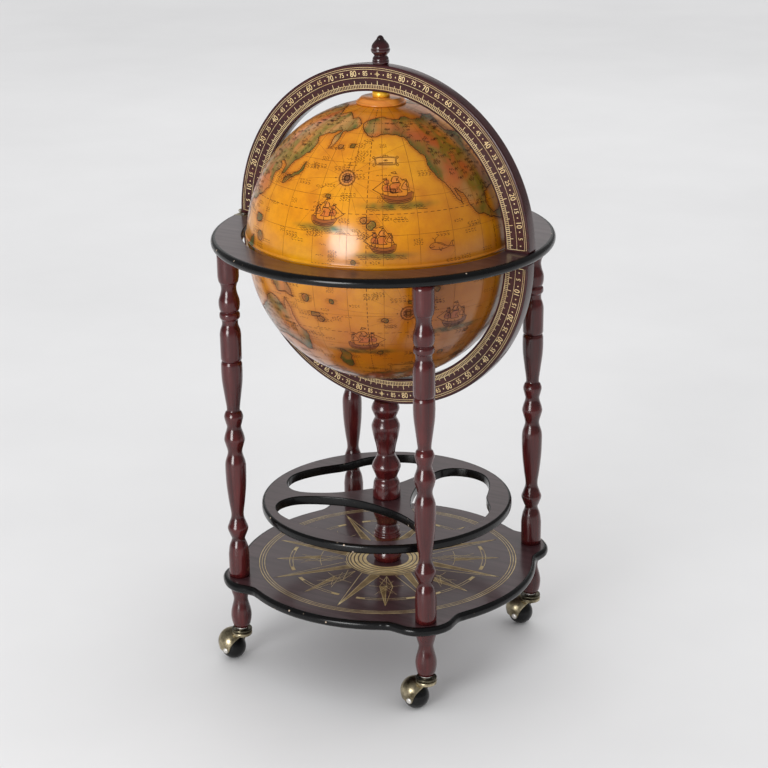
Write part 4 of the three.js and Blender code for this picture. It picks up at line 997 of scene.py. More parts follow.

# %% [markdown]
# ## The map: outlines
#
# The globe wears an old map in amber, olive and rust, with ships, wind roses and scrolls at sea. Ours has
# a layout of its own. Land could be traced from an atlas; here it is given as rough outlines in degrees
# east and north, which are cut into short steps and pushed to and fro by noise.

# %% Land and islands, in degrees
LANDS = [
    [(-17, 15), (-16, 20), (-13, 27), (-9, 31), (-6, 35), (3, 37), (10, 37), (11, 34), (20, 31), (25, 32),
     (32, 31), (35, 25), (38, 19), (43, 12), (51, 12), (49, 7), (44, 0), (40, -5), (40, -14), (35, -20),
     (33, -26), (28, -33), (20, -35), (17, -30), (13, -20), (13, -10), (9, -1), (9, 4), (4, 6), (-3, 5),
     (-8, 4), (-13, 9)],
    [(-9, 37), (-9, 43), (-2, 44), (-1, 47), (-4, 48), (2, 51), (5, 53), (9, 55), (8, 57), (11, 57),
     (10, 54), (14, 54), (21, 55), (24, 59), (30, 60), (23, 60), (22, 64), (25, 66), (18, 62), (17, 57),
     (13, 56), (11, 59), (6, 58), (5, 62), (12, 66), (18, 70), (28, 71), (40, 67), (34, 66), (44, 68),
     (55, 69), (68, 69), (73, 72), (80, 73), (98, 76), (105, 77), (113, 74), (130, 71), (140, 73),
     (160, 70), (172, 70), (180, 68), (190, 66), (186, 64), (178, 62), (170, 60), (163, 60), (162, 55),
     (157, 51), (155, 57), (160, 61), (152, 59), (142, 59), (136, 55), (141, 52), (140, 47), (131, 43),
     (129, 41), (129, 36), (126, 35), (125, 39), (121, 40), (118, 39), (122, 37), (119, 35), (121, 31),
     (121, 28), (117, 24), (110, 21), (108, 21), (106, 18), (109, 13), (106, 9), (103, 11), (100, 13),
     (100, 8), (104, 2), (101, 3), (98, 9), (98, 16), (94, 16), (92, 22), (88, 22), (85, 19), (80, 15),
     (80, 11), (77, 8), (74, 14), (72, 20), (69, 21), (66, 25), (58, 25), (56, 27), (50, 30), (48, 29),
     (51, 25), (56, 26), (59, 22), (55, 17), (45, 13), (43, 14), (39, 21), (35, 28), (34, 31), (36, 36),
     (30, 36), (26, 38), (24, 41), (23, 38), (20, 39), (19, 42), (14, 45), (13, 44), (18, 40), (16, 38),
     (12, 42), (8, 44), (3, 43), (0, 40), (-2, 37), (-6, 36)],
    [(-168, 66), (-162, 60), (-158, 57), (-150, 60), (-140, 60), (-134, 57), (-128, 51), (-124, 47),
     (-124, 41), (-121, 35), (-117, 33), (-112, 24), (-114, 31), (-109, 26), (-105, 20), (-96, 16),
     (-90, 14), (-86, 11), (-83, 8), (-80, 8), (-77, 8), (-81, 9), (-83, 12), (-83, 15), (-88, 16),
     (-87, 21), (-91, 19), (-95, 18), (-98, 22), (-97, 27), (-94, 29), (-89, 29), (-84, 30), (-82, 27),
     (-80, 25), (-81, 31), (-76, 35), (-74, 40), (-70, 42), (-66, 44), (-60, 46), (-65, 48), (-58, 52),
     (-56, 53), (-62, 58), (-70, 61), (-77, 62), (-79, 56), (-80, 52), (-85, 55), (-93, 58), (-94, 62),
     (-87, 66), (-82, 68), (-94, 70), (-96, 68), (-105, 68), (-115, 68), (-125, 70), (-135, 69),
     (-145, 70), (-156, 71), (-165, 68)],
    [(-55, 68), (-52, 64), (-45, 60), (-40, 65), (-24, 69), (-20, 75), (-18, 80), (-35, 83), (-60, 82),
     (-68, 78), (-58, 75)],
    [(-77, 8), (-72, 12), (-62, 10), (-52, 5), (-50, 0), (-44, -3), (-35, -6), (-38, -13), (-41, -22),
     (-48, -27), (-53, -34), (-58, -38), (-63, -41), (-66, -46), (-68, -52), (-73, -52), (-75, -47),
     (-73, -38), (-71, -30), (-70, -19), (-76, -14), (-81, -6), (-80, 1), (-77, 4)],
    [(114, -22), (115, -34), (124, -33), (131, -31), (138, -35), (144, -38), (150, -37), (153, -28),
     (146, -19), (142, -11), (140, -17), (136, -12), (130, -12), (122, -18)],
    [(131, -1), (141, -3), (147, -6), (150, -10), (143, -9), (138, -8), (133, -4)],
    [(109, 1), (113, 3), (118, 7), (118, 1), (116, -4), (111, -3)],
    [(95, 5), (104, -3), (105, -6), (100, -1)],
    [(130, 32), (136, 34), (141, 37), (142, 43), (139, 38), (132, 35)],
    [(44, -20), (49, -13), (50, -16), (47, -25), (44, -24)],
    [(-5, 50), (1, 52), (-2, 56), (-3, 59), (-6, 57), (-3, 53)],
    [(-172, -34), (-167, -38), (-168, -45), (-172, -47), (-175, -41)],
]
ISLANDS = [(-158, 21, 1.6), (-155, 19, 2.2), (-178, -18, 1.8), (-150, -17, 1.5), (-139, -9, 1.3),
           (-172, -9, 1.2), (-134, -24, 1.2), (-128, -4, 1.4), (-162, 4, 1.1), (-145, 33, 1.3),
           (-176, 30, 1.2), (167, -16, 1.9), (160, -9, 2.0), (-109, -27, 1.1), (-91, 0, 1.4),
           (124, 8, 2.4), (121, 15, 2.6), (173, 52, 1.6), (-170, 53, 1.6), (-19, 65, 2.4), (-78, 21, 2.2),
           (-71, 19, 1.6), (80, 7, 1.5), (-120, -38, 1.8), (-152, -35, 1.5)]
print("corners of land:", sum(len(corners) for corners in LANDS), "and islands:", len(ISLANDS))

# %% Rough coasts
noise_source = np.random.default_rng(11)


def wavy(count, octaves=6):
    """Closed noise line: a sum of sines, each an octave finer and 0.62 times as strong."""
    t = np.arange(count) / count * 2 * math.pi
    total = np.zeros(count)
    for k in range(octaves):
        turns = round(count / 60 * 2 ** k) + 1
        total += 0.62 ** k * np.sin(turns * t + noise_source.uniform(0, 2 * math.pi))
    return total


def rough_coast(corners, reach=0.55, step=0.45):
    """Outline cut into short steps, each edge at a + (b - a) t, and pushed across its own direction by
    closed noise."""
    p = np.array(corners, float)
    line = []
    for a, b in zip(p, np.roll(p, -1, 0)):
        count = max(1, round(np.linalg.norm(b - a) / step))
        line.append(a + (b - a) * (np.arange(count) / count)[:, None])
    line = np.vstack(line)
    along = unit(np.roll(line, -2, 0) - np.roll(line, 2, 0))
    side = np.stack([-along[:, 1], along[:, 0]], 1)
    return line + side * reach * wavy(len(line))[:, None]


def narrow_ocean(outline):
    """Draws the great ocean narrower, as old maps do: places from 60 to 190 east move up to 24 degrees
    further east, along half a sine wave."""
    p = np.array(outline, float)
    p[:, 0] += 24 * np.sin(math.pi * np.clip((p[:, 0] - 60) / 130, 0, 1))
    return p


coasts = [rough_coast(narrow_ocean(corners)) for corners in LANDS]
for longitude, latitude, size in ISLANDS:
    place = narrow_ocean([(longitude, latitude)])
    coasts.append(rough_coast(circle(size, 10) * (1, 0.7) + place, 0.25, 0.3))
south = np.arange(-180, 180, 0.5)
south_edge = (-58 + 6 * np.sin(np.radians(south * 2 + 40)) + 4 * np.sin(np.radians(south * 5 + 10))
              + 1.6 * np.sin(np.radians(south * 11)) + 0.9 * wavy(len(south)))
print("points on all coasts:", sum(map(len, coasts)) + len(south))

# %% [markdown]
# ## The map: washes of colour
#
# A colourist laid thin washes over the print: rust along the coasts in the sea, green just inside them,
# patches of sand, rose and olive on land. They are soft, so a grid with four cells to a degree holds
# them. Blurred masks of the land tell how near the shore is, and smoothed random fields make patches.
# Texture Paint would do as well, but could not be repeated.

# %% Masks and random fields on a grid of degrees
DEGREES = 4
rows = -90 + (np.arange(180 * DEGREES) + 0.5) / DEGREES
columns = -180 + (np.arange(360 * DEGREES) + 0.5) / DEGREES


def filled(outline):
    """Mask of an outline on the grid. In each row, the cells between a crossing of the outline and the
    next one are inside; a crossing lies at x = a + (latitude - b) (c - a) / (d - b) on its edge."""
    mask = np.zeros((len(rows), len(columns)), bool)
    a, b = outline, np.roll(outline, -1, 0)
    for row, latitude in enumerate(rows):
        hit = (a[:, 1] > latitude) != (b[:, 1] > latitude)
        cross = a[hit, 0] + (latitude - a[hit, 1]) * (b[hit, 0] - a[hit, 0]) / (b[hit, 1] - a[hit, 1])
        cross = np.sort(cross)
        for west, east in zip(cross[::2], cross[1::2]):
            cells = np.arange(math.ceil((west + 180) * DEGREES), math.floor((east + 180) * DEGREES) + 1)
            mask[row, cells % mask.shape[1]] = True
    return mask


def blurred(grid, cells):
    """Three box blurs in each direction, which is close to a bell curve. A box's mean is a difference of
    two running totals. Longitude wraps round."""
    for _ in range(3):
        for axis in (0, 1):
            wide = [(0, 0), (0, 0)]
            wide[axis] = (cells + 1, cells)
            total = np.cumsum(np.pad(grid, wide, mode="wrap" if axis else "edge"), axis)
            box = 2 * cells + 1
            ahead = np.take(total, range(box, total.shape[axis]), axis)
            grid = (ahead - np.take(total, range(0, total.shape[axis] - box), axis)) / box
    return grid


def cloud(cells, seed):
    """Smooth random field, mostly between -1 and 1."""
    field = blurred(np.random.default_rng(seed).standard_normal((len(rows), len(columns))), cells)
    return field / (2 * field.std())


land = rows[:, None] < np.interp(columns, south, south_edge)
for outline in coasts:
    land |= filled(outline)
land = land.astype(float)
deep_land = blurred(land, 14)
shore_in = np.clip(land * (1 - deep_land) * 2.2, 0, 1)
shore_out = np.clip((1 - land) * blurred(land, 6) * 2.6, 0, 1)
patches, bands, strokes = cloud(26, 1), cloud(9, 2), cloud(3, 3)
blotches, tints = cloud(16, 4), cloud(12, 5)
print(f"land covers {land.mean() * 100:.0f} % of the grid")

# %% Lay the washes
AMBER, GOLDEN, RUSSET = colour(210, 126, 0), colour(230, 158, 2), colour(164, 70, 4)
ROSY, SAND, DUN = colour(180, 80, 32), colour(222, 142, 56), colour(176, 136, 78)
OLIVE, MOSS = colour(122, 110, 22), colour(56, 88, 28)


def mixed(grid, tint, amount):
    """Grid of colours with a share of a tint laid over: grid (1 - share) + tint share."""
    share = np.clip(amount, 0, 1)[..., None]
    return grid * (1 - share) + np.array(tint) * share


wash = np.ones(land.shape + (3,)) * np.array(AMBER)
wash = mixed(wash, GOLDEN, 0.5 + 0.5 * patches)
wash = mixed(wash, RUSSET, 0.25 * np.clip(bands, 0, 1) + 0.35 * (np.abs(rows)[:, None] > 66) * (1 - land))
wash = mixed(wash, RUSSET, 0.5 * shore_out)
wash = mixed(wash, SAND, land * 0.9)
wash = mixed(wash, ROSY, land * np.clip(0.3 + 0.9 * patches, 0, 0.85))
wash = mixed(wash, DUN, land * np.clip(1.3 * blotches, 0, 0.7))
green_zone = np.clip(0.25 + 1.5 * tints + 0.5 * np.cos(np.radians(rows * 9))[:, None], 0, 1)
wash = mixed(wash, OLIVE, land * np.clip(green_zone * (0.7 + 0.6 * strokes), 0, 0.85))
wash = mixed(wash, MOSS, shore_in * np.clip(0.7 + 1.2 * bands, 0.1, 0.95))
print("mean colour:", wash.mean((0, 1)).round(3))

# %% [markdown]
# ## The map: from paper to sphere
#
# A place on the map becomes a direction from the globe's centre, and one longitude faces the camera.
# Small drawings could be projected from one side; here each of their points goes out along a great circle
# from a place, which keeps them true to shape even near a pole.

# %% Places, drawings and spots of colour on the sphere
VIEW_AZIMUTH = math.radians(31.57)
GLOBE_TURN = VIEW_AZIMUTH - math.pi / 2
FACING_LONGITUDE = -150.0


def to_sphere(longitude, latitude):
    """Unit vector of a place: with a the turned longitude and b the latitude it is
    (cos b cos a, cos b sin a, sin b)."""
    a = np.radians(np.asarray(longitude) - FACING_LONGITUDE) + GLOBE_TURN
    b = np.radians(latitude)
    return np.stack([np.cos(b) * np.cos(a), np.cos(b) * np.sin(a), np.sin(b) * np.ones_like(a)], -1)


def local(points, longitude, latitude, size, turn=0.0):
    """A flat drawing on the sphere round a place. A point at distance s, in the direction d, goes to
    centre cos(s / radius) + d sin(s / radius)."""
    p = rotated(np.asarray(points, float) * size, math.radians(turn))
    centre = to_sphere(longitude, latitude)
    north = unit(np.array([0, 0, 1]) - centre * centre[2])
    east = np.cross(north, centre)
    far = np.linalg.norm(p, axis=1, keepdims=True)
    direction = (p[:, :1] * east + p[:, 1:] * north) / np.maximum(far, 1e-9)
    return centre * np.cos(far / GLOBE) + direction * np.sin(far / GLOBE)


def paper(longitude, latitude):
    """How far each cell of the grid lies east and north of a place, in millimetres."""
    east = np.radians((columns[None, :] - longitude + 180) % 360 - 180) * math.cos(math.radians(latitude))
    north = np.radians(rows[:, None] - latitude)
    return np.broadcast_arrays(east * GLOBE, north * GLOBE)


def paint_spot(longitude, latitude, width, height, tint, amount):
    """A soft oval of colour: the share falls as exp(-(u squared + v squared) squared)."""
    east, north = paper(longitude, latitude)
    u, v = east / (width / 2), north / (height / 2)
    return mixed(wash, tint, amount * np.exp(-(u ** 2 + v ** 2) ** 2) * (0.8 + 0.25 * strokes))


def paint_shape(corners, longitude, latitude, size, tint, amount, mirrored=False):
    """Fills a small closed drawing with colour: a cell is inside if a ray from it to the east crosses the
    outline an odd number of times."""
    p = np.array(corners, float) * (-size if mirrored else size, size)
    east, north = paper(longitude, latitude)
    near = (np.abs(east) < 2 * size) & (np.abs(north) < 2 * size)
    x, y, inside = east[near], north[near], np.zeros(near.sum(), bool)
    for a, b in zip(p, np.roll(p, -1, 0)):
        across = (a[1] > y) != (b[1] > y)
        rise = b[1] - a[1] if abs(b[1] - a[1]) > 1e-9 else 1e-9
        inside ^= across & (x < a[0] + (y - a[1]) * (b[0] - a[0]) / rise)
    share = np.zeros(east.shape)
    share[near] = inside * amount
    return mixed(wash, tint, share)


print("the place that faces the camera:", to_sphere(FACING_LONGITUDE, 0).round(3))

# %% [markdown]
# ## The map: ink
#
# The printed lines are kept as lists of directions in two tones and become ribbons further down. Like the
# gold print they are geometry, because an engraved line is thinner than a cell of the colour grid. Old
# engravers shaded a coast with short level strokes at sea and strokes square to it on land.

# %% Coasts and the net of lines
lines = {"dark": [], "faint": []}


def ink(points, width=0.45, tone="dark"):
    """Keeps a line of unit vectors to be printed."""
    lines[tone].append((np.asarray(points), width))


def short_lines(starts, ends, width):
    """Many faint strokes, each from a start to an end in degrees."""
    places = np.stack([starts, ends], 1)
    for stroke in to_sphere(places[..., 0], places[..., 1]):
        ink(stroke, width, "faint")


for outline in coasts:
    closed = np.vstack([outline, outline[:1]])
    ink(to_sphere(closed[:, 0], closed[:, 1]), 1.15)
    along = unit(np.roll(outline, -1, 0) - np.roll(outline, 1, 0))
    x, y = outline.T
    turning = np.sum(x * np.roll(y, -1) - np.roll(x, -1) * y)
    away = np.stack([along[:, 1], -along[:, 0]], 1) * (1 if turning > 0 else -1)
    p, d = outline[::2], away[::2]
    level = np.where(d[:, :1] > 0, 1.7, -1.7) * (1, 0)
    short_lines(p + d * 0.15, p + d * 0.15 + level, 0.55)
    p, d = outline[::3], away[::3]
    short_lines(p - d * 0.5, p - d * (0.9 + 1.3 * noise_source.random((len(p), 1))), 0.5)
ink(to_sphere(np.append(south, 180), np.append(south_edge, south_edge[0])), 1.15)

for longitude in range(-180, 180, 15):
    latitude = np.arange(-88, 88.1, 1.0)
    ink(to_sphere(np.full(len(latitude), longitude), latitude), 0.55, "faint")
for latitude in range(-75, 90, 15):
    longitude = np.arange(-180, 180.1, 1.0)
    ink(to_sphere(longitude, np.full(len(longitude), latitude)), 0.45, "faint")
for latitude in (23.4, -23.4, 66.5, -66.5):
    for start in np.arange(-180, 180, 3.0):
        ink(to_sphere(np.linspace(start, start + 1.8, 3), np.full(3, latitude)), 0.7)
for longitude in (-157, -97, -66):
    for start in np.arange(-80, 80, 2.0):
        ink(to_sphere(np.full(2, longitude), np.array([start, start + 1.2])), 0.9)
print("dark lines:", len(lines["dark"]), "faint lines:", len(lines["faint"]))

# %% [markdown]
# Wind roses have sixteen rays, from which straight courses run far over the sea. On a sphere a straight
# course is a great circle, which `local` gives for nothing: it is a straight line on the flat drawing.

# %% Wind roses


def great_circle(start, bearing, reach):
    """The arc that leaves a place at a bearing, clockwise from north, as a faint line."""
    steps = np.arange(0, reach, 3.0)[:, None]
    ink(local(steps * polar(1, 90 - bearing), *start, 1.0), 0.3, "faint")


def rose_on_map(longitude, latitude, size):
    """Three rings, sixteen rays that narrow to a point, a course from each, and a tip to the north."""
    for radius in (0.56, 0.62, 0.36):
        closed = np.vstack([circle(radius, 48), circle(radius, 48)[:1]])
        ink(local(closed, longitude, latitude, size), 0.7)
    for k in range(16):
        a = k * 22.5
        rank = 0 if k % 4 == 0 else 1 if k % 2 == 0 else 2
        reach, width = (1.0, 0.78, 0.5)[rank], (1.5, 1.1, 0.6)[rank]
        half = [polar(0.16, a + 22), polar(reach, a), polar(0.16, a - 22)]
        ink(local(half, longitude, latitude, size), 0.6)
        ink(local([polar(0.12, a), polar(reach * 0.92, a)], longitude, latitude, size), width)
        great_circle((longitude, latitude), a, 105 if rank < 2 else 60)
    ink(local([(-.09, 1.02), (0, 1.3), (.09, 1.02), (-.09, 1.02)], longitude, latitude, size), 0.9)


ROSES = [(-168, 38, 19), (-140, -14, 18), (-56, 26, 17), (92, -20, 17), (-5, -48, 17), (-105, -44, 15)]
print("roses:", len(ROSES))

# %% [markdown]
# Ships, a fish-like figure and scrolls are small drawings, each a list of lines through a few points that
# `smooth_line` rounds off. They were drawn for this map.

# %% Drawings of ships, a sea creature and scrolls
HULL = [(-.52, .2), (-.48, .02), (-.3, -.09), (0, -.12), (.3, -.09), (.45, .02), (.56, .24), (.32, .15),
        (0, .11), (-.28, .14), (-.36, .24), (-.52, .26)]
SAILS = [
    [(-.16, .27), (.18, .27), (.25, .42), (.16, .57), (-.12, .57), (-.05, .42)],
    [(-.1, .61), (.13, .61), (.17, .71), (.1, .81), (-.07, .81), (-.03, .71)],
    [(.2, .3), (.44, .32), (.5, .44), (.42, .54), (.26, .52)],
    [(.26, .58), (.4, .58), (.43, .65), (.4, .7), (.28, .7)],
    [(-.4, .32), (-.14, .4), (-.34, .66)],
]
SHIP_LINES = [shape + shape[:1] for shape in [HULL] + SAILS] + [
    [(-.46, .06), (0, -.02), (.46, .08)], [(-.42, 0), (0, -.07), (.4, 0)],
    [(.56, .24), (.82, .42)],
    [(0, .12), (0, 1.0)], [(.32, .16), (.32, .78)], [(-.33, .2), (-.33, .72)],
    [(0, 1.0), (.16, .96), (.02, .92)], [(.32, .78), (.45, .75), (.33, .72)],
    [(-.33, .72), (-.2, .7), (-.32, .66)],
    [(0, .95), (.5, .22)], [(0, .95), (-.48, .26)], [(.32, .75), (.8, .41)],
]
WHALE_LINES = [
    [(-.9, .12), (-.7, .3), (-.35, .36), (.05, .27), (.4, .06), (.62, .06), (.8, .3), (.98, .38)],
    [(.98, .38), (.86, .14), (.98, -.06), (.72, 0), (.45, -.06), (.1, -.14), (-.4, -.14), (-.75, -.05),
     (-.9, .12)],
    [(-.86, .08), (-.66, .05), (-.5, .1)], [(-.66, .19), (-.62, .21), (-.6, .18)],
    [(-.45, .37), (-.5, .6), (-.64, .7)], [(-.45, .37), (-.4, .62), (-.26, .7)],
    [(-.2, .02), (-.05, -.26), (.06, -.02)], [(-.3, .3), (0, .2), (.3, .05)],
]
SCROLL_CURL = [(1, .42), (1.16, .58), (1.28, .42), (1.18, .3), (1.12, .4)]
SCROLL_LINES = [
    [(-1, -.42), (-1.06, 0), (-1, .42), (0, .48), (1, .42), (1.06, 0), (1, -.42), (0, -.48), (-1, -.42)],
    [(-.92, -.34), (-.96, 0), (-.92, .34), (0, .4), (.92, .34), (.96, 0), (.92, -.34), (0, -.4),
     (-.92, -.34)],
    [(-.3, .47), (-.16, .66), (0, .6), (.16, .66), (.3, .47)], [(0, .6), (0, .76)],
    [(-.7, -.2), (.7, -.2)], [(-.7, -.27), (.7, -.27)],
] + [[(x * side, y * half) for x, y in SCROLL_CURL] for side in (-1, 1) for half in (-1, 1)]


def figure(drawing, longitude, latitude, size, width=0.75, mirrored=False):
    """Prints one of the drawings at a place on the map, its longer lines smoothed more finely."""
    flip = (-1, 1) if mirrored else (1, 1)
    for line in drawing:
        points = smooth_line(line, 5 if len(line) > 2 else 3)
        ink(local(points * flip, longitude, latitude, size), width)


def waves(longitude, latitude, width, count=3):
    """Rows of short water strokes: row k is the line y = -2.4 k + 0.7 sin(1.15 x + 2 k), broken up."""
    x = np.linspace(-width / 2, width / 2, 34)
    for row in range(count):
        line = np.stack([x, -row * 2.4 + 0.7 * np.sin(x * 1.15 + row * 2)], 1)
        for start in range(row % 3, len(x) - 5, 8):
            ink(local(line[start:start + 6], longitude, latitude, 1.0), 0.65)


print("lines in a ship:", len(SHIP_LINES))

# %% Ships, with a green sea under them and warm light behind
SHIPS = [(-176, 19, 36, False), (-150, 9, 34, True), (-143, 29, 42, True), (-160, -32, 40, False),
         (-118, -22, 38, True), (-38, 34, 38, False), (-18, -26, 38, True), (78, -26, 40, False),
         (-30, 6, 30, True), (60, 8, 28, False)]
SUNSET, TIMBER = colour(206, 106, 40), colour(122, 54, 20)
SAIL_TINTS = [colour(198, 98, 40), colour(218, 132, 54), colour(176, 76, 34)]
for longitude, latitude, size, mirrored in SHIPS:
    water = latitude - size * 0.055
    wash = paint_spot(longitude, water, size * 2.4, size * 0.3, MOSS, 0.9)
    wash = paint_spot(longitude, latitude + size * 0.12, size * 1.2, size * 1.0, SUNSET, 0.4)
    wash = paint_shape(HULL, longitude, latitude, size, TIMBER, 0.8, mirrored)
    for k, sail in enumerate(SAILS):
        wash = paint_shape(sail, longitude, latitude, size, SAIL_TINTS[k % 3], 0.7, mirrored)
    figure(SHIP_LINES, longitude, latitude, size, 0.85, mirrored)
    waves(longitude, water, size * 2.2)
print("ships:", len(SHIPS))

# %% Roses, sea creatures and scrolls
WHALES = [(-126, 9, 20, False), (-186, -52, 24, True), (-22, 48, 20, True), (98, -42, 24, False)]
SCROLLS = [(-148, 46, 14), (-136, -48, 24), (-34, -10, 18), (88, -4, 16)]
ROSE_TINT, ROSE_HEART = colour(196, 110, 84), colour(96, 84, 92)
WHALE_TINT, SCROLL_TINT = colour(176, 92, 50), colour(236, 172, 84)
for longitude, latitude, size in ROSES:
    wash = paint_spot(longitude, latitude, size * 1.4, size * 1.4, ROSE_TINT, 0.55)
    wash = paint_spot(longitude, latitude, size * 0.8, size * 0.8, ROSE_HEART, 0.5)
    rose_on_map(longitude, latitude, size)
for longitude, latitude, size, mirrored in WHALES:
    wash = paint_spot(longitude, latitude, size * 2.3, size * 0.9, WHALE_TINT, 0.6)
    figure(WHALE_LINES, longitude, latitude, size, 0.75, mirrored)
for longitude, latitude, size in SCROLLS:
    wash = paint_spot(longitude, latitude, size * 2.6, size * 1.3, SCROLL_TINT, 0.75)
    figure(SCROLL_LINES, longitude, latitude, size)
    for x in -0.7 + np.arange(15) * 0.1:
        ink(local([(x, -.27), (x, -.2)], longitude, latitude, size), 0.6)
    for a in 36 + 27 * np.arange(5):
        ink(local(np.array([polar(.06, a), polar(.3, a)]) - (0, .08), longitude, latitude, size), 0.7)
print("dark lines so far:", len(lines["dark"]))

# %% [markdown]
# The rest is strewn at random, with a fixed seed so that the map is the same each time: hills and trees
# well inside the land, rivers that wander, and waves at sea. A latitude is drawn through its sine, because
# equal steps of the sine cover equal areas of a sphere.

# %% Hills, trees, rivers and waves
scatter = np.random.default_rng(5)
HILL = [(-.5, -.3), (-.2, .15), (0, .35), (.2, .1), (.5, -.3)]
TREE = [(0, -.4), (0, 0), (-.25, .1), (-.1, .4), (.15, .4), (.25, .1), (0, 0)]


def anywhere(reach):
    """A random place, evenly by area, whose latitude has a sine below `reach`."""
    return scatter.uniform(-180, 180), math.degrees(math.asin(scatter.uniform(-reach, reach)))


def on_land(longitude, latitude):
    """Whether a place is land and has mostly land around it."""
    cell = int((latitude + 90) * DEGREES) % len(land), int((longitude + 180) * DEGREES) % land.shape[1]
    return land[cell] > 0.5 and deep_land[cell] > 0.7


for _ in range(5200):
    longitude, latitude = anywhere(.98)
    if on_land(longitude, latitude):
        drawing = HILL if scatter.random() < 0.6 else TREE
        for k in range(scatter.integers(1, 4)):
            figure([drawing], longitude + k * 1.4, latitude + scatter.uniform(-.3, .3), 4.4, 0.65)
for _ in range(240):
    longitude, latitude = anywhere(.9)
    if on_land(longitude, latitude):
        start = scatter.uniform(0, 2 * math.pi)
        heading = start + np.cumsum(scatter.uniform(-.6, .6, 26))
        path = np.cumsum(np.stack([np.cos(heading), np.sin(heading)], 1), 0)
        ink(local(np.vstack([(0, 0), path]), longitude, latitude, 1.0), 0.6,
            "dark" if scatter.random() < .5 else "faint")
for _ in range(620):
    longitude, latitude = anywhere(.9)
    if not on_land(longitude, latitude):
        waves(longitude, latitude, scatter.uniform(9, 26), scatter.integers(1, 5))
print("dark lines:", len(lines["dark"]), "faint lines:", len(lines["faint"]))

# %% [markdown]
# Shade is painted into the washes as a last glaze over all of them. The lower half, which lies under the ring
# and away from the light from above, is darker, its print a darker hue too, and so is the side that turns
# away from the key lamp.

# %% Paint shade into the washes
# Painted shade: darker below the equator, under the ring and away from the light from above, where the print
# is also darker; and darker on the side turned away from the key lamp.
SHADED_LONGITUDE = -108
painted_shade_low = 1 - np.clip(0.25 - rows / 45, 0, 1)[:, None, None] * (0.46, 0.56, 0.68)
from_shaded = (columns - SHADED_LONGITUDE + 90) % 180 - 90
painted_shade_side = 1 - np.exp(-(from_shaded / 38) ** 2)[None, :, None] * (0.34, 0.39, 0.52)
wash = wash * painted_shade_low * painted_shade_side
print("mean colour:", wash.mean((0, 1)).round(3))

# %% [markdown]
# ## Globe halves
#
# Each half of the globe is a shell of pressed card with printed paper outside. Solidify could thicken a
# half sphere; a closed profile of outside, rim and lining gives each its own finish at once. The outside
# has a point every two millimetres or so, fine enough to carry the washes. The upper half sits a little
# lower than its solid and ends in a short lip.

# %% Turn the shells
MAP_RINGS, MAP_SIDES, LINER_RINGS = 136, 560, 16
LIP_HEIGHT = 2.2


def washes_at(points, centre):
    """Colour of the map under each point: the mean of the four nearest grid cells, each weighted by how
    near it is in either direction."""
    d = unit(points - np.array([0, 0, centre]))
    latitude = np.degrees(np.arcsin(np.clip(d[:, 2], -1, 1)))
    longitude = np.degrees(np.arctan2(d[:, 1], d[:, 0]) - GLOBE_TURN) + FACING_LONGITUDE
    x = ((longitude + 180) % 360) * DEGREES - 0.5
    y = np.clip((latitude + 90) * DEGREES - 0.5, 0, len(wash) - 1.001)
    i, j = np.floor(x).astype(int), np.floor(y).astype(int)
    east, north = (x - i)[:, None], (y - j)[:, None]
    i0, i1 = i % wash.shape[1], (i + 1) % wash.shape[1]
    return ((wash[j, i0] * (1 - east) + wash[j, i1] * east) * (1 - north)
            + (wash[j + 1, i0] * (1 - east) + wash[j + 1, i1] * east) * north)


def meridian_arc(radius, centre, start, end, count):
    """Points (radius cos a, centre + radius sin a) between two latitudes in degrees."""
    a = np.radians(np.linspace(start, end, count))
    return np.stack([np.abs(radius * np.cos(a)), centre + radius * np.sin(a)], 1)


def shell(name, stretches, body, replaces, centre):
    """Turned from stretches of a profile: kind 0 is the map, 1 the bare rim and 2 the lining."""
    profile = np.vstack([stretch for stretch, _ in stretches])
    profile[profile[:, 0] < 1e-3, 0] = 0
    kinds = np.concatenate([np.full(len(stretch), kind) for stretch, kind in stretches])
    points, faces, bands = lathe(profile, MAP_SIDES)
    make(name, points, facing_out(points, faces), body, [map_paper, face_wood, liner_brown],
         kinds[bands], (), [replaces], {"wash": washes_at(points, centre)})


lip_top = LID_BOTTOM + LIP_HEIGHT
lip_radius = upper_high[0]
lip_angle = math.degrees(math.asin((DOME_DROP + LIP_HEIGHT) / GLOBE))
rim_angle = math.degrees(math.asin(DOME_DROP / (GLOBE - WALL)))
shell("globe_shell_upper", [
    (meridian_arc(GLOBE, UPPER_CENTRE, 90, lip_angle, MAP_RINGS), 0),
    (np.array([(lip_radius - .4, lip_top), (lip_radius, lip_top - .4), (lip_radius, LID_BOTTOM)]), 0),
    (np.array([(GLOBE - WALL, LID_BOTTOM)]), 1),
    (meridian_arc(GLOBE - WALL, UPPER_CENTRE, rim_angle, 90, LINER_RINGS), 2),
], "lid", "globe_upper", UPPER_CENTRE)
shell("globe_shell_lower", [
    (meridian_arc(LOWER_GLOBE, LOWER_CENTRE, -90, 0, MAP_RINGS), 0),
    (np.array([(LOWER_GLOBE, lower_high[2]), (LOWER_GLOBE - WALL, lower_high[2])]), 1),
    (meridian_arc(LOWER_GLOBE - WALL, LOWER_CENTRE, 0, -90, LINER_RINGS), 2),
], "base", "globe_lower", LOWER_CENTRE)

# %% [markdown]
# The ink is one piece for each tone and half. A Boolean could cut it at the gap; here only those runs of
# a line's points are kept that lie on the half in question.

# %% Print the ink on both halves
INK_MARGIN = 0.8
LOWER_INK_TOP = -0.2


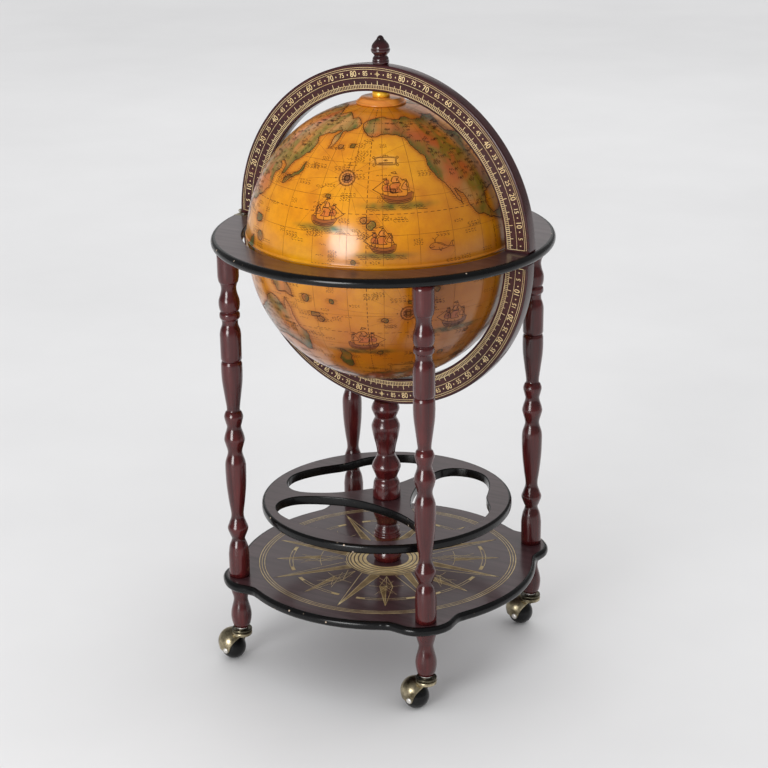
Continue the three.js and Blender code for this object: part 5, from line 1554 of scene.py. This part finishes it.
def ink_mesh(tone, radius, centre, printed):
    """All lines of one tone on one half. The edges of a ribbon lie half its width along the cross product
    of the point's direction and the line's own."""
    points, faces, count = [], [], 0
    for line, width in lines[tone]:
        inside = printed(line[:, 2] * radius)
        cuts = np.flatnonzero(np.diff(inside.astype(int))) + 1
        for p in np.split(line, cuts):
            if len(p) < 2 or not printed(p[0, 2] * radius):
                continue
            side = unit(np.cross(p, np.gradient(p, axis=0))) * width / 2
            row = p * (radius + PRINT_LIFT)
            points += [row - side, row + side]
            i = np.arange(len(p) - 1)
            faces.append(np.stack([i + len(p), i + len(p) + 1, i + 1, i], 1) + count)
            count += 2 * len(p)
    return np.vstack(points) + np.array([0, 0, centre]), np.vstack(faces).tolist()


for tone, look in (("dark", ink_dark), ("faint", ink_faint)):
    points, faces = ink_mesh(tone, GLOBE, UPPER_CENTRE, lambda z: z > DOME_DROP + LIP_HEIGHT + INK_MARGIN)
    make(f"map_ink_{tone}_upper", points, faces, "lid", [look])
    points, faces = ink_mesh(tone, LOWER_GLOBE, LOWER_CENTRE, lambda z: z < LOWER_INK_TOP)
    make(f"map_ink_{tone}_lower", points, faces, "base", [look])

# %% [markdown]
# ## Poles
#
# A turned wooden cap with a beaded edge covers the tips of the gores at the north pole, a brass spacer
# keeps the meridian ring off it, and a screw from inside holds the stack. Cylinders with bevels would be
# near; but all are round, so one helper turns a closed profile for each. The cap's underside is an arc of
# the globe itself, so no gap shows.

# %% Cap, spacers and screw
CAP_RADIUS, CAP_TOP_RADIUS, CAP_HEIGHT, CAP_BEAD = 36.5, 29.5, 5.6, 3.2
CAP_SEAT = GLOBE + GAP
SPACER_EDGE = 0.7
HEAD_RADIUS, HEAD_HEIGHT, SHANK_RADIUS = 8.0, 4.0, 3.0


def spun(name, profile, sides, body, look, replaces=(), centre=(0.0, 0.0)):
    """A piece turned from one closed profile of (radius, height), in one look."""
    points, faces, _ = lathe(profile, sides, centre)
    make(name, points, facing_out(points, faces), body, [look], replaces=replaces)


cap_foot = UPPER_CENTRE + math.sqrt(CAP_SEAT ** 2 - CAP_RADIUS ** 2)
cap_top = UPPER_CENTRE + GLOBE + CAP_HEIGHT
a = np.radians(np.arange(-90, 100, 20))
bead_middle = (CAP_RADIUS - CAP_BEAD / 2, cap_foot + CAP_BEAD / 2)
bead = CAP_BEAD / 2 * np.stack([np.cos(a), np.sin(a)], 1) + bead_middle
cone = [(CAP_RADIUS - 2.4, cap_foot + CAP_BEAD + .3), (CAP_RADIUS - 2.8, cap_foot + CAP_BEAD + 1),
        (CAP_TOP_RADIUS + .9, cap_top - 1.2), (CAP_TOP_RADIUS, cap_top - .3), (CAP_TOP_RADIUS - 1, cap_top),
        (0, cap_top)]
under = meridian_arc(CAP_SEAT, UPPER_CENTRE, 90, 80, 8)
under[0, 0] = 0
spun("pole_collar", np.vstack([under, bead, cone]), 96, "lid", cap_wood, ["pole_cap"])
for place, body in (("upper", "lid"), ("lower", "base")):
    low, high = span("pole_spacer_" + place)
    foot = cap_top + GAP if place == "upper" else low[2]
    r, e = high[1], SPACER_EDGE
    line = [(0, foot), (r - e, foot), (r, foot + e), (r, high[2] - e), (r - e, high[2]), (0, high[2])]
    spun("pole_ring_" + place, line, 64, body, brass_yellow, ["pole_spacer_" + place])
head_top = UPPER_CENTRE + math.sqrt((GLOBE - WALL - GAP) ** 2 - HEAD_RADIUS ** 2)
head_foot, shank_top = head_top - HEAD_HEIGHT, span("pole_bolt_upper")[1][2]
line = [(0, head_foot), (5.6, head_foot), (7.4, head_foot + 1.2), (HEAD_RADIUS, head_top - 1),
        (HEAD_RADIUS, head_top), (SHANK_RADIUS, head_top), (SHANK_RADIUS, shank_top), (0, shank_top)]
spun("pole_screw_upper", line, 40, "lid", steel_plain, ["pole_bolt_upper"])

# %% [markdown]
# ## Deck and well
#
# Under the lid lies the bar: a board with ten holes for glasses round a tube that keeps three bottles.
# Holes could be cut with booleans; `board` makes them with the outline and rounds their edges too. The
# tube's top is turned over the board, and the bottles stand on a round floor inside it.

# %% Deck, ledge, tube and floor
GLASS_HOLES, GLASS_RADIUS, GLASS_CIRCLE = 10, 29.0, 146.0
WELL_OUTER, WELL_INNER, WELL_LIP = 100.0, 97.0, 105.0
LEDGE_WIDTH = 9
deck_low, deck_high = span("bar_deck")
ledge_low, ledge_high = span("deck_ledge")
well_low, well_high = span("bottle_well")
floor_low, floor_high = span("well_floor")

glass_places = [polar(GLASS_CIRCLE, 18 + 360 / GLASS_HOLES * k) for k in range(GLASS_HOLES)]
holes = [circle(WELL_OUTER + GAP, 96)[::-1]] + [circle(GLASS_RADIUS, 64, at)[::-1] for at in glass_places]
points, faces, kind = board(circle(deck_high[0], 160), holes, deck_low[2], deck_high[2], 0.8, 2.0, 4)
make("deck_board", points, faces, "base", [deck_wood], kind, (0,), ["bar_deck"])
points, faces, kind = board(circle(ledge_high[0], 160), [circle(ledge_high[0] - LEDGE_WIDTH, 160)[::-1]],
                            ledge_low[2], ledge_high[2], 0.6, 1.5, 3)
make("ledge_ring", points, faces, "base", [deck_wood], kind, (0,), ["deck_ledge"])
foot, on_deck, top = well_low[2], deck_high[2] + GAP, well_high[2]
line = [(WELL_INNER, foot), (WELL_OUTER, foot), (WELL_OUTER, on_deck), (WELL_LIP - .8, on_deck),
        (WELL_LIP, on_deck + .8), (WELL_LIP, top - 1.2), (WELL_LIP - 1.2, top), (WELL_INNER + 1, top),
        (WELL_INNER, top - 1), (WELL_INNER, foot)]
spun("well_tube", line, 128, "base", well_brown, ["bottle_well"])
r, foot, top = floor_high[0], floor_low[2], floor_high[2]
spun("well_floor_board", [(0, foot), (r - .8, foot), (r, foot + .8), (r, top - .8), (r - .8, top), (0, top)],
     96, "base", deck_wood, ["well_floor"])

# %% [markdown]
# ## Casters
#
# A ball caster is a black ball under a brass hood that swivels on a pintle. The hood is a dome stretched
# up and back, cut open in front by a slanting mouth, with a round tongue over each end of the axle. Cut
# from a sphere with booleans it would have ragged edges. Here every point of the dome is equally far from
# a short slanting line. Going out from the ball's centre, halving steps find where that distance is
# reached, and the rim is the last point on the way round that the mouth still allows.

# %% The hood of a caster
BALL = 19.0
HOOD_OUTER = 21.9
HOOD_WALL = 1.3
DOME_SHIFT = np.array([-2.0, 0.0, 8.0])
TONGUE = 5.4
MOUTH_HOLLOW = 2.2


def dome_reach(directions, radius):
    """How far the surface at `radius` from the segment 0 to DOME_SHIFT lies along each direction, by 30
    halvings. The nearest point of the segment to p is at the share p . s / s . s, held from 0 to 1."""
    low, high = np.zeros(directions.shape[:-1]), np.full(directions.shape[:-1], radius + 12.0)
    length = DOME_SHIFT @ DOME_SHIFT
    for _ in range(30):
        middle = (low + high) / 2
        p = directions * middle[..., None]
        t = np.clip(p @ DOME_SHIFT / length, 0, 1)[..., None]
        outside = np.linalg.norm(p - t * DOME_SHIFT, axis=-1) > radius
        high, low = np.where(outside, middle, high), np.where(outside, low, middle)
    return middle


def hood(centre):
    """Shell of the hood, in polar form about `up`: the direction at bend b and angle a is
    up cos b + (ahead cos a + side sin a) sin b, and each a has its own last bend, the rim."""
    up = unit(np.array([-0.62, 0.0, 0.78]))
    side = np.array([0.0, 1.0, 0.0])
    around = np.linspace(0, 2 * math.pi, 97)[:-1, None]
    flat = np.cos(around) * np.cross(side, up) + np.sin(around) * side
    bend = np.radians(np.linspace(0, 150, 301))
    d = np.cos(bend)[:, None] * up + np.sin(bend)[:, None] * flat[:, None]
    p = d * dome_reach(d, HOOD_OUTER)[..., None]
    mouth = (p[..., 0] - 5.5) * 0.89 - (p[..., 2] + 3.0) * 0.455
    bow = MOUTH_HOLLOW * np.sin(math.pi * np.clip((p[..., 2] + 3.3) / 27, 0, 1))
    allowed = ((mouth < -bow) & (p[..., 2] > -1.5)) | (np.hypot(p[..., 0], p[..., 2]) < TONGUE)
    rim = bend[len(bend) - 1 - np.argmax(allowed[:, ::-1], axis=1)]
    rim = (np.roll(rim, 1) + 2 * rim + np.roll(rim, -1)) / 4
    b = np.linspace(0, 1, 22)[:, None] * rim
    d = np.cos(b)[..., None] * up + np.sin(b)[..., None] * flat
    outer, inner = (d * dome_reach(d, r)[..., None] for r in (HOOD_OUTER, HOOD_OUTER - HOOD_WALL))
    points, faces, _ = sheet(np.concatenate([outer, inner[::-1]]))
    return points + centre, facing_out(points, faces), np.zeros(len(faces), int)


print("points in a hood:", len(hood(np.zeros(3))[0]))

# %% [markdown]
# The rest of a caster is turned: a dished collar under the foot, a bright washer, a flange on the hood,
# the axle with its riveted heads, and the ball. Axle and ball are turned upright like everything else and
# then laid down, so that their axis runs along Y.

# %% Profiles of the collar, washer and flange, as (radius, height under the foot)
COLLAR = [(0, -7.8), (12.6, -7.8), (14.6, -7.3), (15.4, -6.2), (15.6, -4.8), (15.3, -3.5), (14.7, -3.0),
          (13.6, -3.2), (12.4, -4.0), (9.4, -4.2), (8.7, -3.6), (8.7, -3.0), (8.4, -3.0), (0, -3.0)]
WASHER = [(0, -2.95), (8.2, -2.95), (8.9, -2.4), (8.9, -.7), (8.2, 0), (0, 0)]
FLANGE = [(0, -14.6), (12.8, -14.6), (14.2, -14.1), (15.1, -13.2), (15.2, -12.6), (14.8, -12.0),
          (15.4, -11.4), (15.6, -10.2), (15.2, -8.7), (14.2, -8.2), (0, -8.2)]
print(f"the flange ends {-FLANGE[0][1]} mm under the foot")

# %% Profiles of the axle, its heads and the ball, about their axis
AXLE = np.array([(0, -1), (2.2, -1), (2.2, 1), (0, 1)]) * (1, HOOD_OUTER - .5)
RIVET = np.array([(0, 0), (1, 0), (1, .35), (.8, .75), (.4, .97), (0, 1)]) * (4.2, 1.8)
BORE, BALL_SIDE = 2.7, 18.0
a = np.radians(np.linspace(-83, 83, 45))
BALL_LINE = np.vstack([(BORE, -BALL_SIDE), BALL * np.stack([np.cos(a), np.sin(a)], 1), (BORE, BALL_SIDE),
                       (BORE, -BALL_SIDE)])


def laid(profile, sides, centre, side=1):
    """A turned piece laid down: (x, y, z) goes to (x, side z, y), so that its axis runs along Y. Side -1
    turns it to the other end."""
    points, faces, _ = lathe(profile, sides)
    points = np.stack([points[:, 0], side * points[:, 2], points[:, 1]], 1)
    return points + centre, facing_out(points, faces), np.zeros(len(faces), int)


print("points round the ball:", len(BALL_LINE))

# %% Build the four casters
for corner in CORNERS:
    low, high = span("caster_collar_" + corner)
    at = (low + high)[:2] / 2
    height = (0, span("foot_" + corner)[0][2] - GAP)
    spun("caster_dish_" + corner, COLLAR + np.array(height), 64, "base", brass_shaded,
         ["caster_collar_" + corner], at)
    spun("caster_washer_" + corner, WASHER + np.array(height), 48, "base", washer_bright,
         centre=at)
    low, high = span("caster_ball_" + corner)
    centre = np.array([*(low + high)[:2] / 2, BALL])
    points, faces, _ = lathe(FLANGE + np.array(height), 64, at)
    flange = (points, facing_out(points, faces), np.zeros(len(faces), int))
    points, faces, kind = join(hood(centre), flange)
    make("caster_cover_" + corner, points, faces, "swivel_" + corner, [brass_antique],
         replaces=["caster_hood_" + corner])
    heads = [laid(RIVET, 32, centre + (0, side * (HOOD_OUTER - .3), 0), side) for side in (-1, 1)]
    points, faces, kind = join(*heads, laid(AXLE, 24, centre))
    make("caster_rivet_" + corner, points, faces, "swivel_" + corner, [washer_bright],
         replaces=["caster_axle_" + corner])
    points, faces, kind = laid(BALL_LINE, 96, centre)
    make("caster_wheel_" + corner, points, faces, "ball_" + corner, [ball_black],
         replaces=["caster_ball_" + corner])

# %% [markdown]
# ## Hinge and bolts
#
# Small flat metal pieces like the hinge's leaves have their true shape in the CAD model already. Making
# them again would gain nothing, so they stay and only get a finish.

# %% Finish the pieces that stay
KEPT = {"hinge_leaf_ring": brass_antique, "hinge_leaf_lid": brass_antique, "hinge_pin": steel_plain,
        "hinge_screw_front": steel_plain, "hinge_screw_back": steel_plain, "pole_bolt_lower": steel_plain}
for node, look in KEPT.items():
    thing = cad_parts[node]
    thing.data.materials.clear()
    thing.data.materials.append(look)
print("CAD pieces that keep their shape:", len(KEPT))

# %% [markdown]
# ## Floor
#
# The object stands on a pale studio floor without an edge. A photographer would curve a sheet up behind
# it; a floor 60 metres wide needs no curve.

# %% Lay the floor
REACH = 30.0
floor_mesh = bpy.data.meshes.new("studio_floor")
floor_mesh.from_pydata([(-REACH, -REACH, 0), (REACH, -REACH, 0), (REACH, REACH, 0), (-REACH, REACH, 0)], [],
                       [(0, 1, 2, 3)])
floor = linked("studio_floor", floor_mesh)
look = Look("studio_floor", Specular_IOR_Level=0.2)
soft = look.noise(look.place, 1.4, 4.0)
fine = look.noise(look.place, 60.0, 4.0)
base = look.blend(look.ramp(soft, 0.3, 0.7), colour(229, 229, 230), colour(222, 222, 223))
floor_mesh.materials.append(look.paint(base, look.ramp(soft, 0.2, 0.8, 0.5, 0.6), fine, 0.0001, 0.1))
print("floor:", 2 * REACH, "m wide")

# %% [markdown]
# ## Camera
#
# The camera stands where the photographer's did. It was fitted to points of the legs, shelves and rings:
# 31.6 degrees to the right of the front, looking down 19.4 degrees, 3.18 m from its target and rolled by
# less than a degree. Its axes are worked out as three vectors, of which the third points backwards.

# %% Place the camera
CAMERA_DISTANCE = 3.18407
ELEVATION = math.radians(19.4)
ROLL = math.radians(-0.82)
TARGET_HEIGHT, TARGET_SHIFT = 0.4282, -0.0018
back = Vector((math.sin(VIEW_AZIMUTH) * math.cos(ELEVATION), -math.cos(VIEW_AZIMUTH) * math.cos(ELEVATION),
               math.sin(ELEVATION)))
level = Vector((math.cos(VIEW_AZIMUTH), math.sin(VIEW_AZIMUTH), 0))
upright = back.cross(level)
right = level * math.cos(ROLL) + upright * math.sin(ROLL)
up = upright * math.cos(ROLL) - level * math.sin(ROLL)
target = level * TARGET_SHIFT + Vector((0, 0, TARGET_HEIGHT))
camera_data = bpy.data.cameras.new("camera")
camera_data.lens, camera_data.sensor_width, camera_data.sensor_fit = 99.33, 36.0, "HORIZONTAL"
camera_data.clip_end = 100.0
camera = linked("camera", camera_data)
camera.matrix_world = Matrix.Translation(target + back * CAMERA_DISTANCE) @ Matrix(
    (right, up, back)).transposed().to_4x4()
bpy.context.scene.camera = camera
print("camera at", tuple(round(c, 3) for c in camera.matrix_world.translation))

# %% [markdown]
# ## Light
#
# The photograph shows one large soft lamp in front, whose round highlight lies on the dome, and pale
# walls. One bright world would light all sides alike. So the key lamp is a big disc with a grid over it,
# which leaves no edge of light on the floor, and a wide lamp behind lifts the rims. A very soft sun
# stands for the ceiling and is kept out of reflections, where it would show as a second spot. The world
# is brighter to the camera than as a light, so that the backdrop is pale and the shadows stay.

# %% Lamps


def lamp_object(name, data, direction, place=(0, 0, 0)):
    """A lamp object at a place, its -Z axis turned along a direction."""
    lamp = linked(name, data)
    lamp.location = place
    lamp.rotation_euler = Vector(direction).to_track_quat("-Z", "Y").to_euler()
    return lamp


def area_light(name, place, aim, width, height, power, spread=180.0):
    """Soft oval lamp at a place, facing a point. A grid with a narrower spread keeps its light off the
    floor below it."""
    data = bpy.data.lights.new(name, "AREA")
    data.shape, data.size, data.size_y, data.energy = "ELLIPSE", width, height, power
    data.spread = math.radians(spread)
    lamp_object(name, data, Vector(aim) - Vector(place), place).visible_camera = False


area_light("key", (-0.08, -4.45, 1.3), (0, 0, 1.4), 1.95, 1.95, 57, 120)
area_light("back", (-2.3, 3.7, 2.3), (0, 0, 0.6), 4.6, 2.2, 11)
sun_data = bpy.data.lights.new("top", "SUN")
sun_data.energy, sun_data.angle = 2.35, math.radians(140)
lamp_object("top", sun_data, (-0.05, -0.2, -1)).visible_glossy = False
print("lamps:", len(bpy.data.lights))

# %% World
WORLD_LIGHT, WORLD_SEEN = 0.24, 0.74

world = bpy.data.worlds.new("studio")
world.use_nodes = True
bpy.context.scene.world = world
tree = world.node_tree
shade = tree.nodes["Background"]
shade.inputs["Color"].default_value = (1, 1, 1, 1)
paths = tree.nodes.new("ShaderNodeLightPath")
strength = tree.nodes.new("ShaderNodeMapRange")
strength.inputs["To Min"].default_value = WORLD_LIGHT
strength.inputs["To Max"].default_value = WORLD_SEEN
tree.links.new(paths.outputs["Is Camera Ray"], strength.inputs["Value"])
tree.links.new(strength.outputs["Result"], shade.inputs["Strength"])
bpy.context.scene.view_settings.view_transform = "Standard"
print("world:", WORLD_LIGHT, "as light,", WORLD_SEEN, "as seen")
